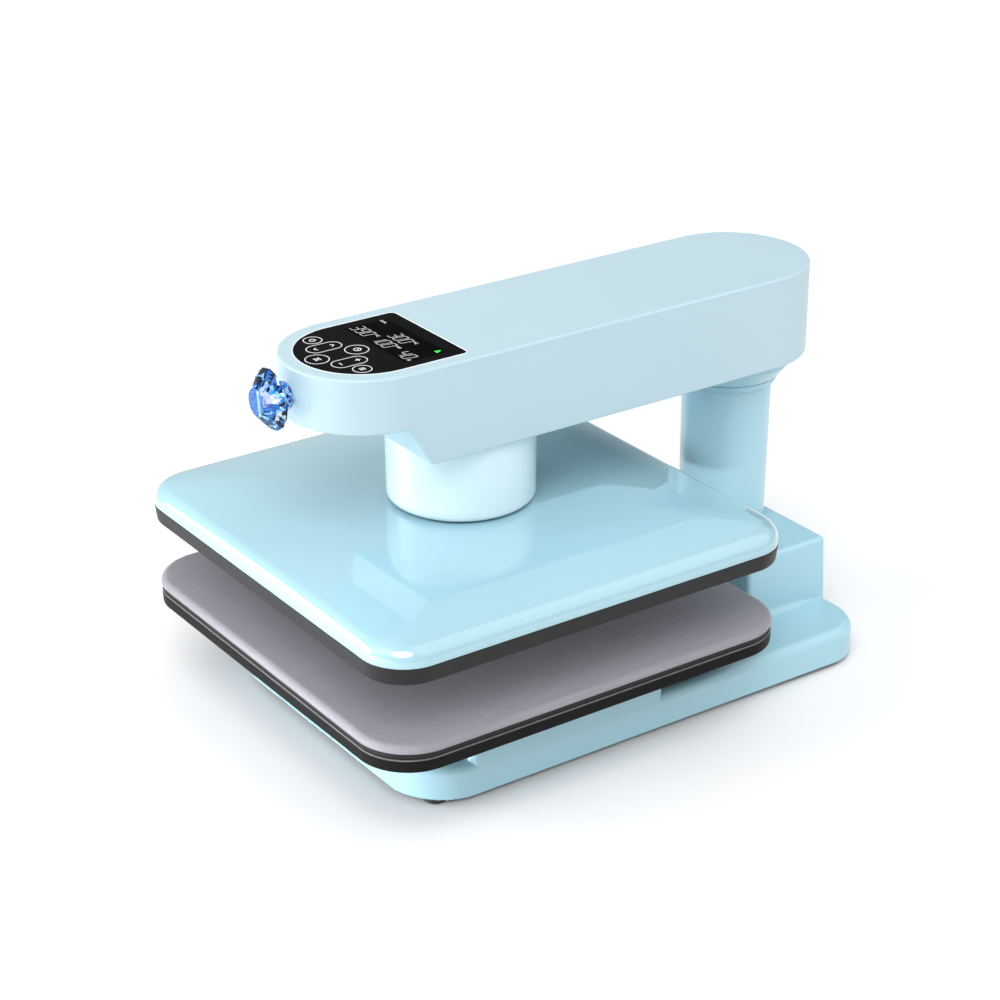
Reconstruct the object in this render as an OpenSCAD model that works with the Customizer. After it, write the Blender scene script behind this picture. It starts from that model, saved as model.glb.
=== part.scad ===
// Automatic heat press with a swing-away arm: a motor in the arm drives a
// lead screw that lowers the heated upper platen onto the padded lower one.
// Units are millimetres. +Z is up and the front, with the knob, faces -Y.
// The origin is at the middle of the footprint, on the surface it stands on.

/* [Platens] */
// Outer width and depth of both platens
platen_w = 388; // [380:1:390]
// Corner radius of the platens seen from above
platen_r = 38; // [32:1:42]
// Thickness of the padded sheet on the lower platen
pad_t = 6.95; // [6.5:0.05:7.5]
// Open height between the pad and the heat plate
open_gap = 51.75; // [50:0.05:54]
// Thickness of the heat plate
heat_t = 10; // [8:0.5:10]
// Rise of the upper cover's middle above its rounded edge
cover_rise = 7.3; // [6:0.1:8]

/* [Arm] */
// Width of the arm
arm_w = 132.8; // [132:0.1:134]
// Distance from the column axis to the middle of the platens
throat = 277.7; // [275:0.1:280]
// Distance from the column axis to the centre of the arm's round nose
nose_reach = 368; // [366:0.5:370]
// Depth of the arm at its nose
nose_depth = 45.3; // [44:0.1:47]
// How far the belly hangs below the nose
belly_depth = 34.3; // [34:0.1:36]
// Length of the sloping step between nose and belly
belly_slope = 20.2; // [18:0.1:24]
// Wall thickness of the arm mouldings
arm_wall = 3; // [2.8:0.1:3.2]

/* [Column] */
// Diameter of the column cover at its top
column_d = 77.8; // [76:0.1:78]
// Diameter of the steel post inside the column
post_d = 48; // [47:0.5:48]

/* [Ram] */
// Diameter of the shroud under the arm
shroud_d = 122.8; // [122:0.1:123]
// Length of the shroud
shroud_h = 65.8; // [65:0.1:67]
// Outer diameter of the sliding ram tube
ram_d = 96; // [95:0.5:96]

/* [Base] */
// Width of the base
base_w = 304.6; // [300:0.1:308]
// Length of the base, front to rear
base_l = 460.2; // [458:0.1:464]
// Thickness of the base slab
base_h = 30; // [29:0.5:32]
// Radius of the base's front corners seen from above
base_r = 50; // [48:1:54]
// Radius of the base's rear corners seen from above
base_rr = 40; // [38:1:44]
// Height of the riser that carries the lower platen
riser_h = 36.3; // [35:0.1:38]
// Length of the riser, front to rear
riser_l = 187; // [184:0.5:190]
// Height of the column pedestal above the slab
pedestal_h = 55.4; // [54:0.1:56]
// Height of the rubber feet
foot_h = 4; // [3.5:0.5:5]

/* [Drive] */
// Gear module
gear_m = 2; // [2:0.1:2]
// Teeth on the gear that turns the lead screw
gear_teeth = 58; // [58:1:58]
// Teeth on the motor pinion
pinion_teeth = 20; // [20:1:20]
// Diameter of the lead screw
screw_d = 20; // [18:1:20]

/* [Knob] */
// Largest diameter of the knob
knob_d = 49.2; // [48:0.1:52]
// How far the knob stands out from the arm
knob_l = 29; // [28:0.1:30]

/* [Switch] */
// Tilt of the rocker at rest, in degrees
rocker_tilt = 9; // [8:0.5:9]

/* [Hidden] */
$fn = 96;

blue = [0.74, 0.86, 0.90];
gloss_blue = [0.66, 0.86, 0.91];
dark = [0.22, 0.22, 0.23];
fabric = [0.50, 0.49, 0.51];
steel = [0.70, 0.71, 0.73];
alu = [0.80, 0.81, 0.82];
zinc = [0.62, 0.64, 0.66];
black = [0.08, 0.08, 0.09];
bronze = [0.72, 0.52, 0.28];
green = [0.10, 0.36, 0.20];

// Heights, from the standing surface up
z_base = foot_h;
z_slab = z_base + base_h;
z_ped = z_slab + pedestal_h;
z_tray = z_slab + riser_h;
z_tray1 = z_tray + 10.7;
z_pad0 = z_tray1 + 4.8;
z_pad1 = z_pad0 + pad_t;
z_heat = z_pad1 + open_gap;
z_heat1 = z_heat + heat_t;
z_rim0 = z_heat + 0.45;
z_rim1 = z_rim0 + 14.25;
z_cov = z_rim1 + 15.5;
z_dome = z_cov + cover_rise;
z_shroud = z_dome + 1.3;
z_belly = z_shroud + shroud_h;
z_nose = z_belly + belly_depth;
z_top = z_nose + nose_depth;
z_frame = z_nose + 8.6;
z_frame1 = z_frame + 5;
z_ceil = z_top - 3.5;
z_gear = z_frame1 + 3;
z_flange = z_heat + 16.5;
z_hub = z_belly + 1.3;

// Plan positions
arm_r = arm_w / 2;
yc = (throat + platen_w / 2 + 0.8 - arm_r) / 2;
yp = yc - throat;
yn = yc - nose_reach;
y_front = yn - arm_r;
y_base = yc - 186.4;
y_rear = y_base + base_l / 2;
y_riser = yp - 0.4;
ped_l = 87;
ped_wt = 89.7;
ped_wb = 93.6;
z_knob = z_nose + nose_depth / 2;
gear_c = gear_m * (gear_teeth + pinion_teeth) / 2;
y_motor = yp + gear_c;
post_r = post_d / 2;
ram_r = ram_d / 2;
screw_r = screw_d / 2;
slope_k = tan(atan2(belly_depth, belly_slope) / 2);
inlet_x = -36;
switch_x = 38;
z_rear = z_slab + 27;
feet = [[130.8, y_base - base_l / 2 + 24.45], [-130.8, y_base - base_l / 2 + 24.45],
        [130.8, y_rear - 27.6], [-130.8, y_rear - 27.6]];
base_bolts = [[70, y_base - 206], [-70, y_base - 206], [138, y_base + 68],
        [-138, y_base + 68], [108, y_base + 186], [-108, y_base + 186]];
pillars = [[110, yp - 56], [-110, yp - 56], [110, yp + 62], [-110, yp + 62]];
post_bolts = [[62, yc - 26], [-62, yc - 26], [62, yc + 26], [-62, yc + 26]];
arm_bolts = [[53, yp - 72], [-53, yp - 72], [53, yp + 110], [-53, yp + 110],
        [50, yc - 20], [-50, yc - 20]];
belly_posts = [[46, yp + 140], [-46, yp + 140], [46, yp + 215], [-46, yp + 215]];
belly_front = [[28, yp - 101], [-28, yp - 101]];
rim_bolts = [for (s = [-1, 1]) for (t = [-1, 1]) each [[s * 100, t * 183], [s * 183, t * 100]]];

// Rounded rectangle, centred
module rrect(w, l, r) {
    square([w - 2 * r, l], center = true);
    square([w, l - 2 * r], center = true);
    for (sx = [-1, 1]) for (sy = [-1, 1])
        translate([sx * (w / 2 - r), sy * (l / 2 - r)]) circle(r);
}
// Half section of a disc with a rounded top edge
module disc_profile(x, h, f) {
    square([x - f, h]);
    square([x, h - f]);
    translate([x - f, h - f]) intersection() {
        circle(f);
        square(f);
    }
}
// Section of a bar with rounded top edges
module bar_profile(w, h, f) {
    translate([-w / 2 + f, 0]) square([w - 2 * f, h]);
    translate([-w / 2, 0]) square([w, h - f]);
    for (s = [0, 1]) mirror([s, 0]) translate([w / 2 - f, h - f]) intersection() {
        circle(f);
        square(f);
    }
}
// Rounded slab with a fillet f round its top edge
module soft_slab(w, l, h, r, f) {
    for (sx = [-1, 1]) for (sy = [-1, 1])
        translate([sx * (w / 2 - r), sy * (l / 2 - r), 0])
            rotate_extrude() disc_profile(r, h, f);
    translate([0, l / 2 - r, 0]) rotate([90, 0, 0])
        linear_extrude(l - 2 * r) bar_profile(w, h, f);
    translate([-w / 2 + r, 0, 0]) rotate([90, 0, 90])
        linear_extrude(w - 2 * r) bar_profile(l, h, f);
}
// Rounded slab like it, with a radius of its own at the rear corners
module base_slab(w, l, h, r, rr, f) {
    for (sx = [-1, 1]) {
        translate([sx * (w / 2 - r), -l / 2 + r, 0]) rotate_extrude() disc_profile(r, h, f);
        translate([sx * (w / 2 - rr), l / 2 - rr, 0]) rotate_extrude() disc_profile(rr, h, f);
    }
    translate([0, l / 2 - rr, 0]) rotate([90, 0, 0])
        linear_extrude(l - r - rr) bar_profile(w, h, f);
    translate([-w / 2 + r, 0, 0]) rotate([90, 0, 90])
        linear_extrude(w - 2 * r) bar_profile(l, h, f);
    translate([-w / 2 + rr, l / 2 - rr - 20, 0]) rotate([90, 0, 90])
        linear_extrude(w - 2 * rr) bar_profile(2 * rr + 40, h, f);
}
// Long outline with two round ends
module stadium(r) {
    translate([0, yc]) circle(r);
    translate([0, yn]) circle(r);
    translate([-r, yn]) square([2 * r, yc - yn]);
}
// Outline with a round front and a square rear
module dee(r, rear, cr) {
    translate([0, yn]) circle(r);
    translate([-r, yn]) square([2 * r, rear - cr]);
    translate([-r + cr, yn]) square([2 * r - 2 * cr, rear]);
    for (s = [-1, 1]) translate([s * (r - cr), yn + rear - cr]) circle(cr);
}
// Upright rod and tube between two heights
module rod(p, r, z0, z1) {
    translate([p[0], p[1], z0]) cylinder(r = r, h = z1 - z0);
}
module tube(p, ro, ri, z0, z1) {
    difference() {
        rod(p, ro, z0, z1);
        rod(p, ri, z0 - 1, z1 + 1);
    }
}
// Screw with its head under a surface at height z and its shank above it
module screw_up(p, rh, hh, rs, z, l) {
    rod(p, rh, z - hh, z);
    rod(p, rs, z - 0.2, z + l);
}
// Screw with its head on top of a surface at height z
module screw_down(p, rh, hh, rs, z, l) {
    rod(p, rh, z, z + hh);
    rod(p, rs, z - l, z + 0.2);
}
// Side profile (y, z) carried across the width
module across(w) {
    rotate([90, 0, 90]) linear_extrude(w, center = true) children();
}
// Spur gear outline with straight-sided teeth
module spur(n, phase) {
    r = gear_m * n / 2;
    ro = r + 0.8 * gear_m;
    ri = r - 1.1 * gear_m;
    t = 0.75 * PI * gear_m / 4;
    union() {
        circle(ri + 0.05);
        for (k = [0:n - 1]) rotate(phase + k * 360 / n)
            polygon([[ri - 0.6, -t - 0.8], [ro, -t + 0.55], [ro, t - 0.55], [ri - 0.6, t + 0.8]]);
    }
}

// ---- base -----------------------------------------------------------------
module base_shell() {
    color(blue) {
        difference() {
            union() {
                translate([0, y_base, z_base]) base_slab(base_w, base_l, base_h, base_r, base_rr, 8.5);
                translate([0, y_riser, z_base + 5]) linear_extrude(z_tray - z_base - 5)
                    rrect(base_w, riser_l, 8);
                translate([0, y_rear, 0]) rotate([90, 0, 0]) linear_extrude(ped_l)
                    polygon([[-ped_wb, z_slab - 5], [ped_wb, z_slab - 5],
                        [ped_wt, z_ped], [-ped_wt, z_ped]]);
            }
            translate([0, y_base, z_base - 1]) linear_extrude(base_h - 3)
                rrect(base_w - 8, base_l - 8, base_r - 4);
            translate([0, y_riser, z_base + 10]) linear_extrude(z_tray - z_base - 14)
                rrect(base_w - 8, riser_l - 8, 4);
            translate([0, y_rear - 4, 0]) rotate([90, 0, 0]) linear_extrude(ped_l - 8)
                polygon([[-ped_wb + 4, z_slab - 10], [ped_wb - 4, z_slab - 10],
                    [ped_wt - 4, z_ped - 4], [-ped_wt + 4, z_ped - 4]]);
            rod([0, yc], 30, z_ped - 6, z_ped + 1);
            for (p = pillars) rod(p, 3.2, z_tray - 6, z_tray + 1);
            translate([inlet_x - 14, y_rear - 6, z_rear - 10.25]) cube([28, 8, 20.5]);
            translate([switch_x - 9.2, y_rear - 6, z_rear - 12.2]) cube([18.4, 8, 24.4]);
            for (s = [-1, 1]) translate([inlet_x + s * 20, y_rear + 1, z_rear])
                rotate([90, 0, 0]) cylinder(r = 1.5, h = 8);
        }
        for (p = base_bolts) difference() {
            rod(p, 6, z_base + 4, z_slab - 3);
            rod(p, 2, z_base + 3, z_base + 20);
        }
    }
}
module base_plate() {
    color(steel) difference() {
        translate([0, y_base, z_base]) linear_extrude(4)
            rrect(base_w - 8.4, base_l - 8.4, base_r - 4.2);
        for (p = feet) rod(p, 4, z_base - 1, z_base + 5);
        for (p = base_bolts) rod(p, 2.2, z_base - 1, z_base + 5);
        for (p = post_bolts) rod(p, 4, z_base - 1, z_base + 5);
        for (k = [-4:4]) translate([k * 12 - 2, y_base + 40, z_base - 1]) cube([4, 46, 6]);
    }
}
module rubber_feet() {
    color(black) for (p = feet) {
        translate([p[0], p[1], 0]) cylinder(r1 = 10, r2 = 11, h = foot_h);
        rod(p, 4, foot_h - 0.5, foot_h + 4);
    }
}
module base_screws() {
    color(zinc) for (p = base_bolts) screw_up(p, 4, 2.2, 2, z_base, 16);
}
module support_pillars() {
    color(steel) for (p = pillars) difference() {
        rod(p, 10, z_base + 4, z_tray - 4);
        rod(p, 3, z_tray - 26, z_tray - 3);
    }
}
module lower_tray() {
    color(dark) difference() {
        translate([0, yp, z_tray]) linear_extrude(10.7)
            rrect(platen_w - 0.2, platen_w - 0.2, platen_r + 6);
        translate([0, yp, z_tray + 4]) for (i = [-1, 1]) for (j = [-1, 1])
            translate([i * 95, j * 95, 0]) linear_extrude(8) rrect(184, 184, 30);
        for (p = pillars) rod(p, 3.2, z_tray - 1, z_tray + 5);
    }
}
module pad_plate() {
    color(dark) translate([0, yp, z_tray1]) linear_extrude(4.8)
        rrect(platen_w - 2.8, platen_w - 2.8, platen_r + 5);
}
module press_pad() {
    color(fabric) translate([0, yp, z_pad0])
        soft_slab(platen_w + 1.6, platen_w + 1.6, pad_t, platen_r + 8, 5.5);
}
module tray_screws() {
    color(zinc) for (p = pillars) screw_down(p, 6, 4.5, 3, z_tray + 4, 26);
}
module column_post() {
    color(steel) difference() {
        union() {
            translate([-75, yc - 38, z_base + 4]) cube([150, 76, 10]);
            rod([0, yc], post_r, z_base + 4, z_frame1 + 8);
        }
        rod([0, yc], post_r - 5, z_base + 3, z_frame1 + 9);
        for (p = post_bolts) rod(p, 4, z_base + 3, z_base + 15);
    }
}
module column_bolts() {
    color(zinc) for (p = post_bolts) {
        translate([p[0], p[1], z_base + 14]) cylinder(r = 7.2, h = 5.3, $fn = 6);
        rod(p, 4, z_base, z_base + 14.2);
    }
}
module column_cover() {
    color(blue) difference() {
        union() {
            translate([0, yc, z_ped + 0.8]) cylinder(r1 = column_d / 2 - 1.3,
                r2 = column_d / 2, h = z_belly - 14 - z_ped - 0.8);
            rod([0, yc], column_d / 2 - 2.4, z_ped, z_ped + 1);
            rod([0, yc], 29.8, z_ped - 5, z_ped + 1);
        }
        rod([0, yc], post_r + 2, z_ped - 6, z_belly);
        rod([0, yc], column_d / 2 - 4.3, z_ped + 4, z_belly);
    }
}
module post_collar() {
    color(steel) difference() {
        tube([0, yc], 34, post_r, z_belly - 12, z_belly - 3);
        translate([0, yc, z_belly - 9]) rotate(270 - 97)
            rotate_extrude(angle = 194) translate([27.6, 0]) square([5.8, 10]);
    }
}
module thrust_washer() {
    color(bronze) tube([0, yc], 27.4, post_r, z_belly - 3, z_belly + 0.9);
}
module post_retainer() {
    color(zinc) difference() {
        translate([0, yc, z_frame1 + 0.5]) cylinder(r = 33, h = 7, $fn = 8);
        rod([0, yc], post_r, z_frame1, z_frame1 + 9);
    }
}
module power_inlet() {
    color(black) translate([inlet_x, y_rear, z_rear]) difference() {
        union() {
            translate([-25, 0, -12]) cube([50, 3, 24]);
            translate([-13.8, -26, -10.1]) cube([27.6, 27, 20.2]);
        }
        translate([-12, -14, -8.5]) cube([24, 18, 17]);
        for (s = [-1, 1]) translate([s * 20, 4, 0]) rotate([90, 0, 0]) cylinder(r = 1.6, h = 6);
        for (p = [[-7, -4], [7, -4], [0, 0]]) translate([p[0] - 1, -27, p[1]]) cube([2, 14, 4]);
    }
}
module inlet_pins() {
    color(zinc) translate([inlet_x, y_rear, z_rear])
        for (p = [[-7, -4], [7, -4], [0, 0]]) translate([p[0] - 1, -34, p[1]]) cube([2, 33, 4]);
}
module inlet_screws() {
    color(zinc) for (s = [-1, 1]) translate([inlet_x + s * 20, y_rear + 3, z_rear])
        rotate([90, 0, 0]) {
            translate([0, 0, -1.8]) cylinder(r = 2.8, h = 1.8);
            translate([0, 0, -0.2]) cylinder(r = 1.5, h = 9);
        }
}
module switch_frame() {
    color(black) translate([switch_x, y_rear, z_rear]) difference() {
        union() {
            translate([-10.5, 0, -13.5]) cube([21, 2.5, 27]);
            translate([-9, -16, -12]) cube([18, 17, 24]);
        }
        translate([-6.3, -13, -9.9]) cube([12.6, 17, 19.8]);
        translate([-10, -1.5, 0]) rotate([0, 90, 0]) cylinder(r = 1.55, h = 20);
    }
}
module power_rocker() {
    color(black) translate([switch_x, y_rear - 1.5, z_rear]) rotate([rocker_tilt, 0, 0]) {
        across(12) intersection() {
            circle(9.6);
            polygon([[-5, -9], [4.8, -9], [3, 0], [4.8, 9], [-5, 9]]);
        }
        rotate([0, 90, 0]) cylinder(r = 1.5, h = 17, center = true);
    }
}
module power_board() {
    color(green) translate([0, y_base + 62, z_base]) {
        translate([-50, -50, 10]) cube([100, 100, 1.6]);
        for (sx = [-1, 1]) for (sy = [-1, 1]) rod([sx * 44, sy * 44], 3, 4, 10.5);
        translate([-42, -36, 11]) cube([38, 34, 13]);
        translate([6, -40, 11]) cube([30, 22, 9]);
        translate([-40, 12, 11]) cube([18, 28, 11]);
        for (k = [0:2]) rod([2 + 16 * k, 24], 6, 11, 23);
    }
}

// ---- arm ------------------------------------------------------------------
module arm_cut() {
    across(200) polygon([[yn - 90, z_belly - 6],
        [yn + belly_slope * (1 + 6 / belly_depth), z_belly - 6],
        [yn, z_nose], [yn - 90, z_nose]]);
}
module arm_housing() {
    color(blue) {
        difference() {
            union() {
                for (y = [yn, yc]) translate([0, y, z_belly])
                    rotate_extrude() disc_profile(arm_r, z_top - z_belly, 2);
                translate([0, yc, z_belly]) rotate([90, 0, 0]) linear_extrude(yc - yn)
                    bar_profile(arm_w, z_top - z_belly, 2);
            }
            arm_cut();
            translate([0, 0, z_belly - 1]) linear_extrude(z_ceil - z_belly + 1)
                stadium(arm_r - arm_wall);
            translate([0, 0, z_top - 2]) linear_extrude(3) dee(54.2, 62.8, 5);
            translate([-31, yn + 16, z_ceil - 2]) cube([62, 40, 6]);
            translate([0, y_front - 1, z_knob]) rotate([-90, 0, 0]) cylinder(r = 2.6, h = 8);
        }
        for (p = arm_bolts) difference() {
            rod(p, 5, z_frame1, z_ceil + 0.5);
            rod(p, 2, z_frame1 - 1, z_frame1 + 13);
        }
        difference() {
            translate([0, y_front + 1.6, z_knob]) rotate([-90, 0, 0]) cylinder(r = 8, h = 10.4);
            translate([0, y_front, z_knob]) rotate([-90, 0, 0]) cylinder(r = 2.6, h = 13);
        }
    }
}
module arm_belly_cover() {
    t = arm_wall;
    color(blue) {
        difference() {
            intersection() {
                across(200) polygon([[yn - 80, z_nose], [yn, z_nose],
                    [yn + belly_slope, z_belly], [yc + 80, z_belly],
                    [yc + 80, z_belly + t], [yn + belly_slope + t * slope_k, z_belly + t],
                    [yn + t * slope_k, z_nose + t], [yn - 80, z_nose + t]]);
                translate([0, 0, z_belly - 1]) linear_extrude(z_nose - z_belly + 10)
                    stadium(arm_r - arm_wall - 0.2);
            }
            rod([0, yp], 53.6, z_belly - 2, z_belly + 6);
            rod([0, yc], 37, z_belly - 2, z_belly + 6);
            for (p = belly_posts) {
                rod(p, 2.2, z_belly - 1, z_belly + 6);
                rod(p, 4.2, z_belly - 1, z_belly + 2.2);
            }
            for (p = belly_front) rod(p, 2.2, z_nose - 1, z_nose + 6);
            for (a = [45:90:315]) {
                rod([56 * cos(a), yp + 56 * sin(a)], 1.5, z_belly - 1, z_belly + 6);
                rod([47 * cos(a), yc + 47 * sin(a)], 2.2, z_belly - 1, z_belly + 6);
            }
        }
        for (p = belly_posts) tube(p, 5, 2.2, z_belly + t - 0.5, z_frame);
        for (p = belly_front) tube(p, 5, 2.2, z_nose + t - 0.5, z_frame);
    }
}
module arm_frame() {
    color(zinc) difference() {
        union() {
            translate([0, 0, z_frame]) linear_extrude(5) {
                translate([0, yc]) circle(59);
                translate([-59, yp - 110]) square([118, throat + 110]);
            }
            rod([0, yc], 36, z_hub, z_frame + 1);
        }
        rod([0, yc], post_r + 3, z_hub - 1, z_frame1 + 1);
        rod([0, yp], 16, z_frame - 1, z_frame1 + 1);
        rod([0, y_motor], 9, z_frame - 1, z_frame1 + 1);
        for (s = [-1, 1]) rod([s * 14, y_motor], 1.7, z_frame - 1, z_frame1 + 1);
        for (p = arm_bolts) rod(p, 2.2, z_frame - 1, z_frame1 + 1);
        for (p = belly_posts) rod(p, 2, z_frame - 1, z_frame1 + 1);
        for (p = belly_front) rod(p, 2, z_frame - 1, z_frame1 + 1);
        for (a = [45:90:315]) rod([56.6 * cos(a), yp + 56.6 * sin(a)], 1.5, z_frame - 1, z_frame1 + 1);
        rod([0, yc - 30.5], 2.5, z_hub - 1, z_hub + 8);
    }
}
module arm_screws() {
    color(zinc) for (p = arm_bolts) screw_up(p, 4, 3, 2, z_frame, 17);
}
module belly_screws() {
    color(zinc) {
        for (p = belly_posts) screw_up(p, 4, 1.8, 2, z_belly + 2.2, z_frame1 - z_belly - 3.2);
        for (p = belly_front) screw_up(p, 4, 1.8, 2, z_nose, z_frame1 - z_nose - 1);
    }
}
module swing_bushes() {
    color(bronze) {
        tube([0, yc], post_r + 3, post_r + 0.06, z_hub, z_hub + 17.6);
        tube([0, yc], post_r + 3, post_r + 0.06, z_frame1 - 17.6, z_frame1);
    }
}
module swing_stop_pin() {
    color(steel) rod([0, yc - 30.5], 2.5, z_belly - 8.4, z_hub + 8);
}
module swing_collar() {
    color(blue) translate([0, yc, 0]) difference() {
        rotate_extrude() polygon([[39.5, z_belly], [39.5, z_belly - 28.8], [40.4, z_belly - 28.8],
            [44.4, z_belly - 22.2], [54.3, z_belly - 9.8], [54.3, z_belly]]);
        for (a = [45:90:315]) rod([47 * cos(a), 47 * sin(a)], 2, z_belly - 9, z_belly + 1);
    }
}
module collar_screws() {
    color(zinc) for (a = [45:90:315])
        screw_down([47 * cos(a), yc + 47 * sin(a)], 3.6, 2.2, 2, z_belly + arm_wall, 11);
}
module control_panel() {
    color(black) translate([0, 0, z_top - 2]) linear_extrude(2) dee(53.2, 61.8, 4);
}
module panel_trim() {
    color([0.92, 0.95, 0.97]) translate([0, 0, z_top - 2]) linear_extrude(2) difference() {
        dee(54.2, 62.8, 5);
        dee(53.2, 61.8, 4);
    }
}
module display_board() {
    color(green) {
        translate([0, 0, z_ceil - 8]) linear_extrude(1.6) dee(44, 58, 4);
        translate([-29, yn + 18, z_ceil - 6.6]) cube([58, 36, 8]);
        for (p = [[36, yn - 6], [-36, yn - 6], [38, yn + 50], [-38, yn + 50]])
            rod(p, 3, z_ceil - 6.6, z_ceil);
    }
}
module control_board() {
    color(green) translate([0, yp + 172, 0]) {
        translate([-37, -52, z_frame - 8]) cube([74, 104, 1.6]);
        for (sx = [-1, 1]) for (sy = [-1, 1]) rod([sx * 32, sy * 46], 3, z_frame - 6.6, z_frame);
        translate([-28, -40, z_frame - 20]) cube([24, 30, 12.5]);
        translate([6, -36, z_frame - 17]) cube([22, 20, 9.5]);
        translate([-26, 6, z_frame - 24]) cube([46, 34, 16.5]);
    }
}
module drive_motor() {
    color(zinc) difference() {
        union() {
            rod([0, y_motor], 21, z_belly + 4.5, z_frame - 2);
            rod([0, y_motor], 22.5, z_frame - 3, z_frame);
        }
        rod([0, y_motor], 4.06, z_frame - 18, z_frame + 1);
        for (s = [-1, 1]) rod([s * 14, y_motor], 1.5, z_frame - 8, z_frame + 1);
    }
}
module motor_screws() {
    color(zinc) for (s = [-1, 1]) screw_down([s * 14, y_motor], 2.8, 2, 1.5, z_frame1, 12);
}
module motor_pinion() {
    color(steel) {
        translate([0, y_motor, z_gear]) linear_extrude(12) spur(pinion_teeth, 270 + 180 / pinion_teeth);
        rod([0, y_motor], 4, z_frame - 16, z_gear + 15);
    }
}
module screw_gear() {
    color([0.86, 0.86, 0.80]) difference() {
        translate([0, yp, z_gear]) linear_extrude(12) spur(gear_teeth, 90);
        rod([0, yp], screw_r, z_gear - 1, z_gear + 13);
        for (a = [0:60:300]) rod([34 * cos(a), yp + 34 * sin(a)], 11, z_gear - 1, z_gear + 13);
    }
}
module lead_screw() {
    color(steel) {
        rod([0, yp], screw_r, z_shroud + 24.6, z_gear + 15);
        translate([0, yp, z_shroud + 23.4]) cylinder(r1 = screw_r - 1.2, r2 = screw_r, h = 1.2);
    }
}
module screw_collar() {
    color(zinc) tube([0, yp], 17, screw_r, z_frame - 5, z_frame - 0.5);
}
module screw_bearing() {
    color(steel) difference() {
        union() {
            rod([0, yp], 16, z_frame, z_frame1 + 1);
            rod([0, yp], 20, z_frame1, z_frame1 + 2);
        }
        rod([0, yp], screw_r + 0.06, z_frame - 1, z_frame1 + 3);
    }
}
module ram_guide() {
    color(bronze) difference() {
        union() {
            rod([0, yp], ram_r + 5, z_shroud + 3.4, z_frame - 1);
            rod([0, yp], 60, z_frame - 4, z_frame);
        }
        rod([0, yp], ram_r + 0.05, z_shroud + 2, z_frame + 1);
        rod([0, y_motor], 23, z_frame - 5, z_frame + 1);
        for (s = [-1, 1]) translate([s * (ram_r + 0.2) - 2.5, yp - 3.9, z_shroud + 6]) cube([5, 7.8, 18]);
        for (a = [45:90:315]) rod([56.6 * cos(a), yp + 56.6 * sin(a)], 1.7, z_frame - 5, z_frame + 1);
    }
}
module guide_keys() {
    color(steel) for (s = [-1, 1])
        translate([s * (ram_r + 0.2) - 2.5, yp - 3.9, z_shroud + 6]) cube([5, 7.8, 18]);
}
module guide_screws() {
    color(zinc) for (a = [45:90:315])
        screw_up([56.6 * cos(a), yp + 56.6 * sin(a)], 2.8, 2, 1.5, z_frame - 4, 8);
}
module limit_switch() {
    color(black) {
        translate([-10, yp - 61, z_frame - 22]) cube([20, 6.6, 18]);
        translate([-4, yp - 61, z_frame - 26]) cube([3, 6.6, 5]);
    }
}
module ram_shroud() {
    color(blue) translate([0, yp, 0]) difference() {
        union() {
            translate([0, 0, z_shroud + 4.5]) cylinder(r1 = shroud_d / 2 - 0.5, r2 = shroud_d / 2, h = shroud_h - 4.5);
            translate([0, 0, z_shroud]) rotate_extrude() {
                square([shroud_d / 2 - 5, 4.6]);
                translate([shroud_d / 2 - 5, 4.5]) circle(4.5);
            }
        }
        translate([0, 0, z_shroud + 3]) cylinder(r = shroud_d / 2 - 3.4, h = shroud_h - 6);
        translate([0, 0, z_shroud - 1]) cylinder(r = ram_r + 5.4, h = 6);
        translate([0, 0, z_belly - 4]) cylinder(r = 53.6, h = 6);
        for (a = [45:90:315]) rod([56 * cos(a), 56 * sin(a)], 1.5, z_belly - 5, z_belly + 1);
    }
}
module shroud_screws() {
    color(zinc) for (a = [45:90:315])
        screw_up([56 * cos(a), yp + 56 * sin(a)], 1.9, 1.6, 1.4, z_belly - 3, 5.8);
}
module knob_screw() {
    color(zinc) translate([0, y_front + 12, z_knob]) rotate([90, 0, 0]) {
        translate([0, 0, -4]) cylinder(r = 5, h = 4);
        translate([0, 0, -0.2]) cylinder(r = 2.5, h = 25);
    }
}
module crystal_knob() {
    color([0.45, 0.62, 0.92]) translate([0, y_front, z_knob]) rotate([90, 0, 0]) difference() {
        rotate_extrude() polygon([[0, 0], [6, 0], [10.6, 3.2], [11, 5.4], [9.4, 7.6], [7.4, 9],
            [knob_d / 2, 15.7], [knob_d / 2, 17], [knob_d * 0.232, knob_l], [0, knob_l]]);
        translate([0, 0, -1]) cylinder(r = 2.5, h = 15);
    }
}

// ---- press head -----------------------------------------------------------
module ram_tube() {
    color(alu) difference() {
        tube([0, yp], ram_r, ram_r - 5, z_flange + 6, z_frame - 7);
        for (s = [-1, 1]) translate([s * ram_r - 2.5, yp - 4, z_flange]) cube([5, 8, 140]);
    }
}
module ram_nut() {
    color(bronze) tube([0, yp], ram_r - 5, screw_r + 0.05, z_frame - 25, z_frame - 7);
}
module ram_flange() {
    color(zinc) translate([0, yp, 0]) difference() {
        rod([0, 0], 80, z_flange, z_flange + 6);
        for (a = [0:90:270]) rod([62 * cos(a), 62 * sin(a)], 2.6, z_flange - 1, z_flange + 7);
        for (a = [45:90:315]) rod([68 * cos(a), 68 * sin(a)], 2, z_flange - 1, z_flange + 7);
    }
}
module platen_standoffs() {
    color([0.9, 0.88, 0.82]) for (a = [0:90:270])
        tube([62 * cos(a), yp + 62 * sin(a)], 7, 2.6, z_heat1, z_flange);
}
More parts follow.
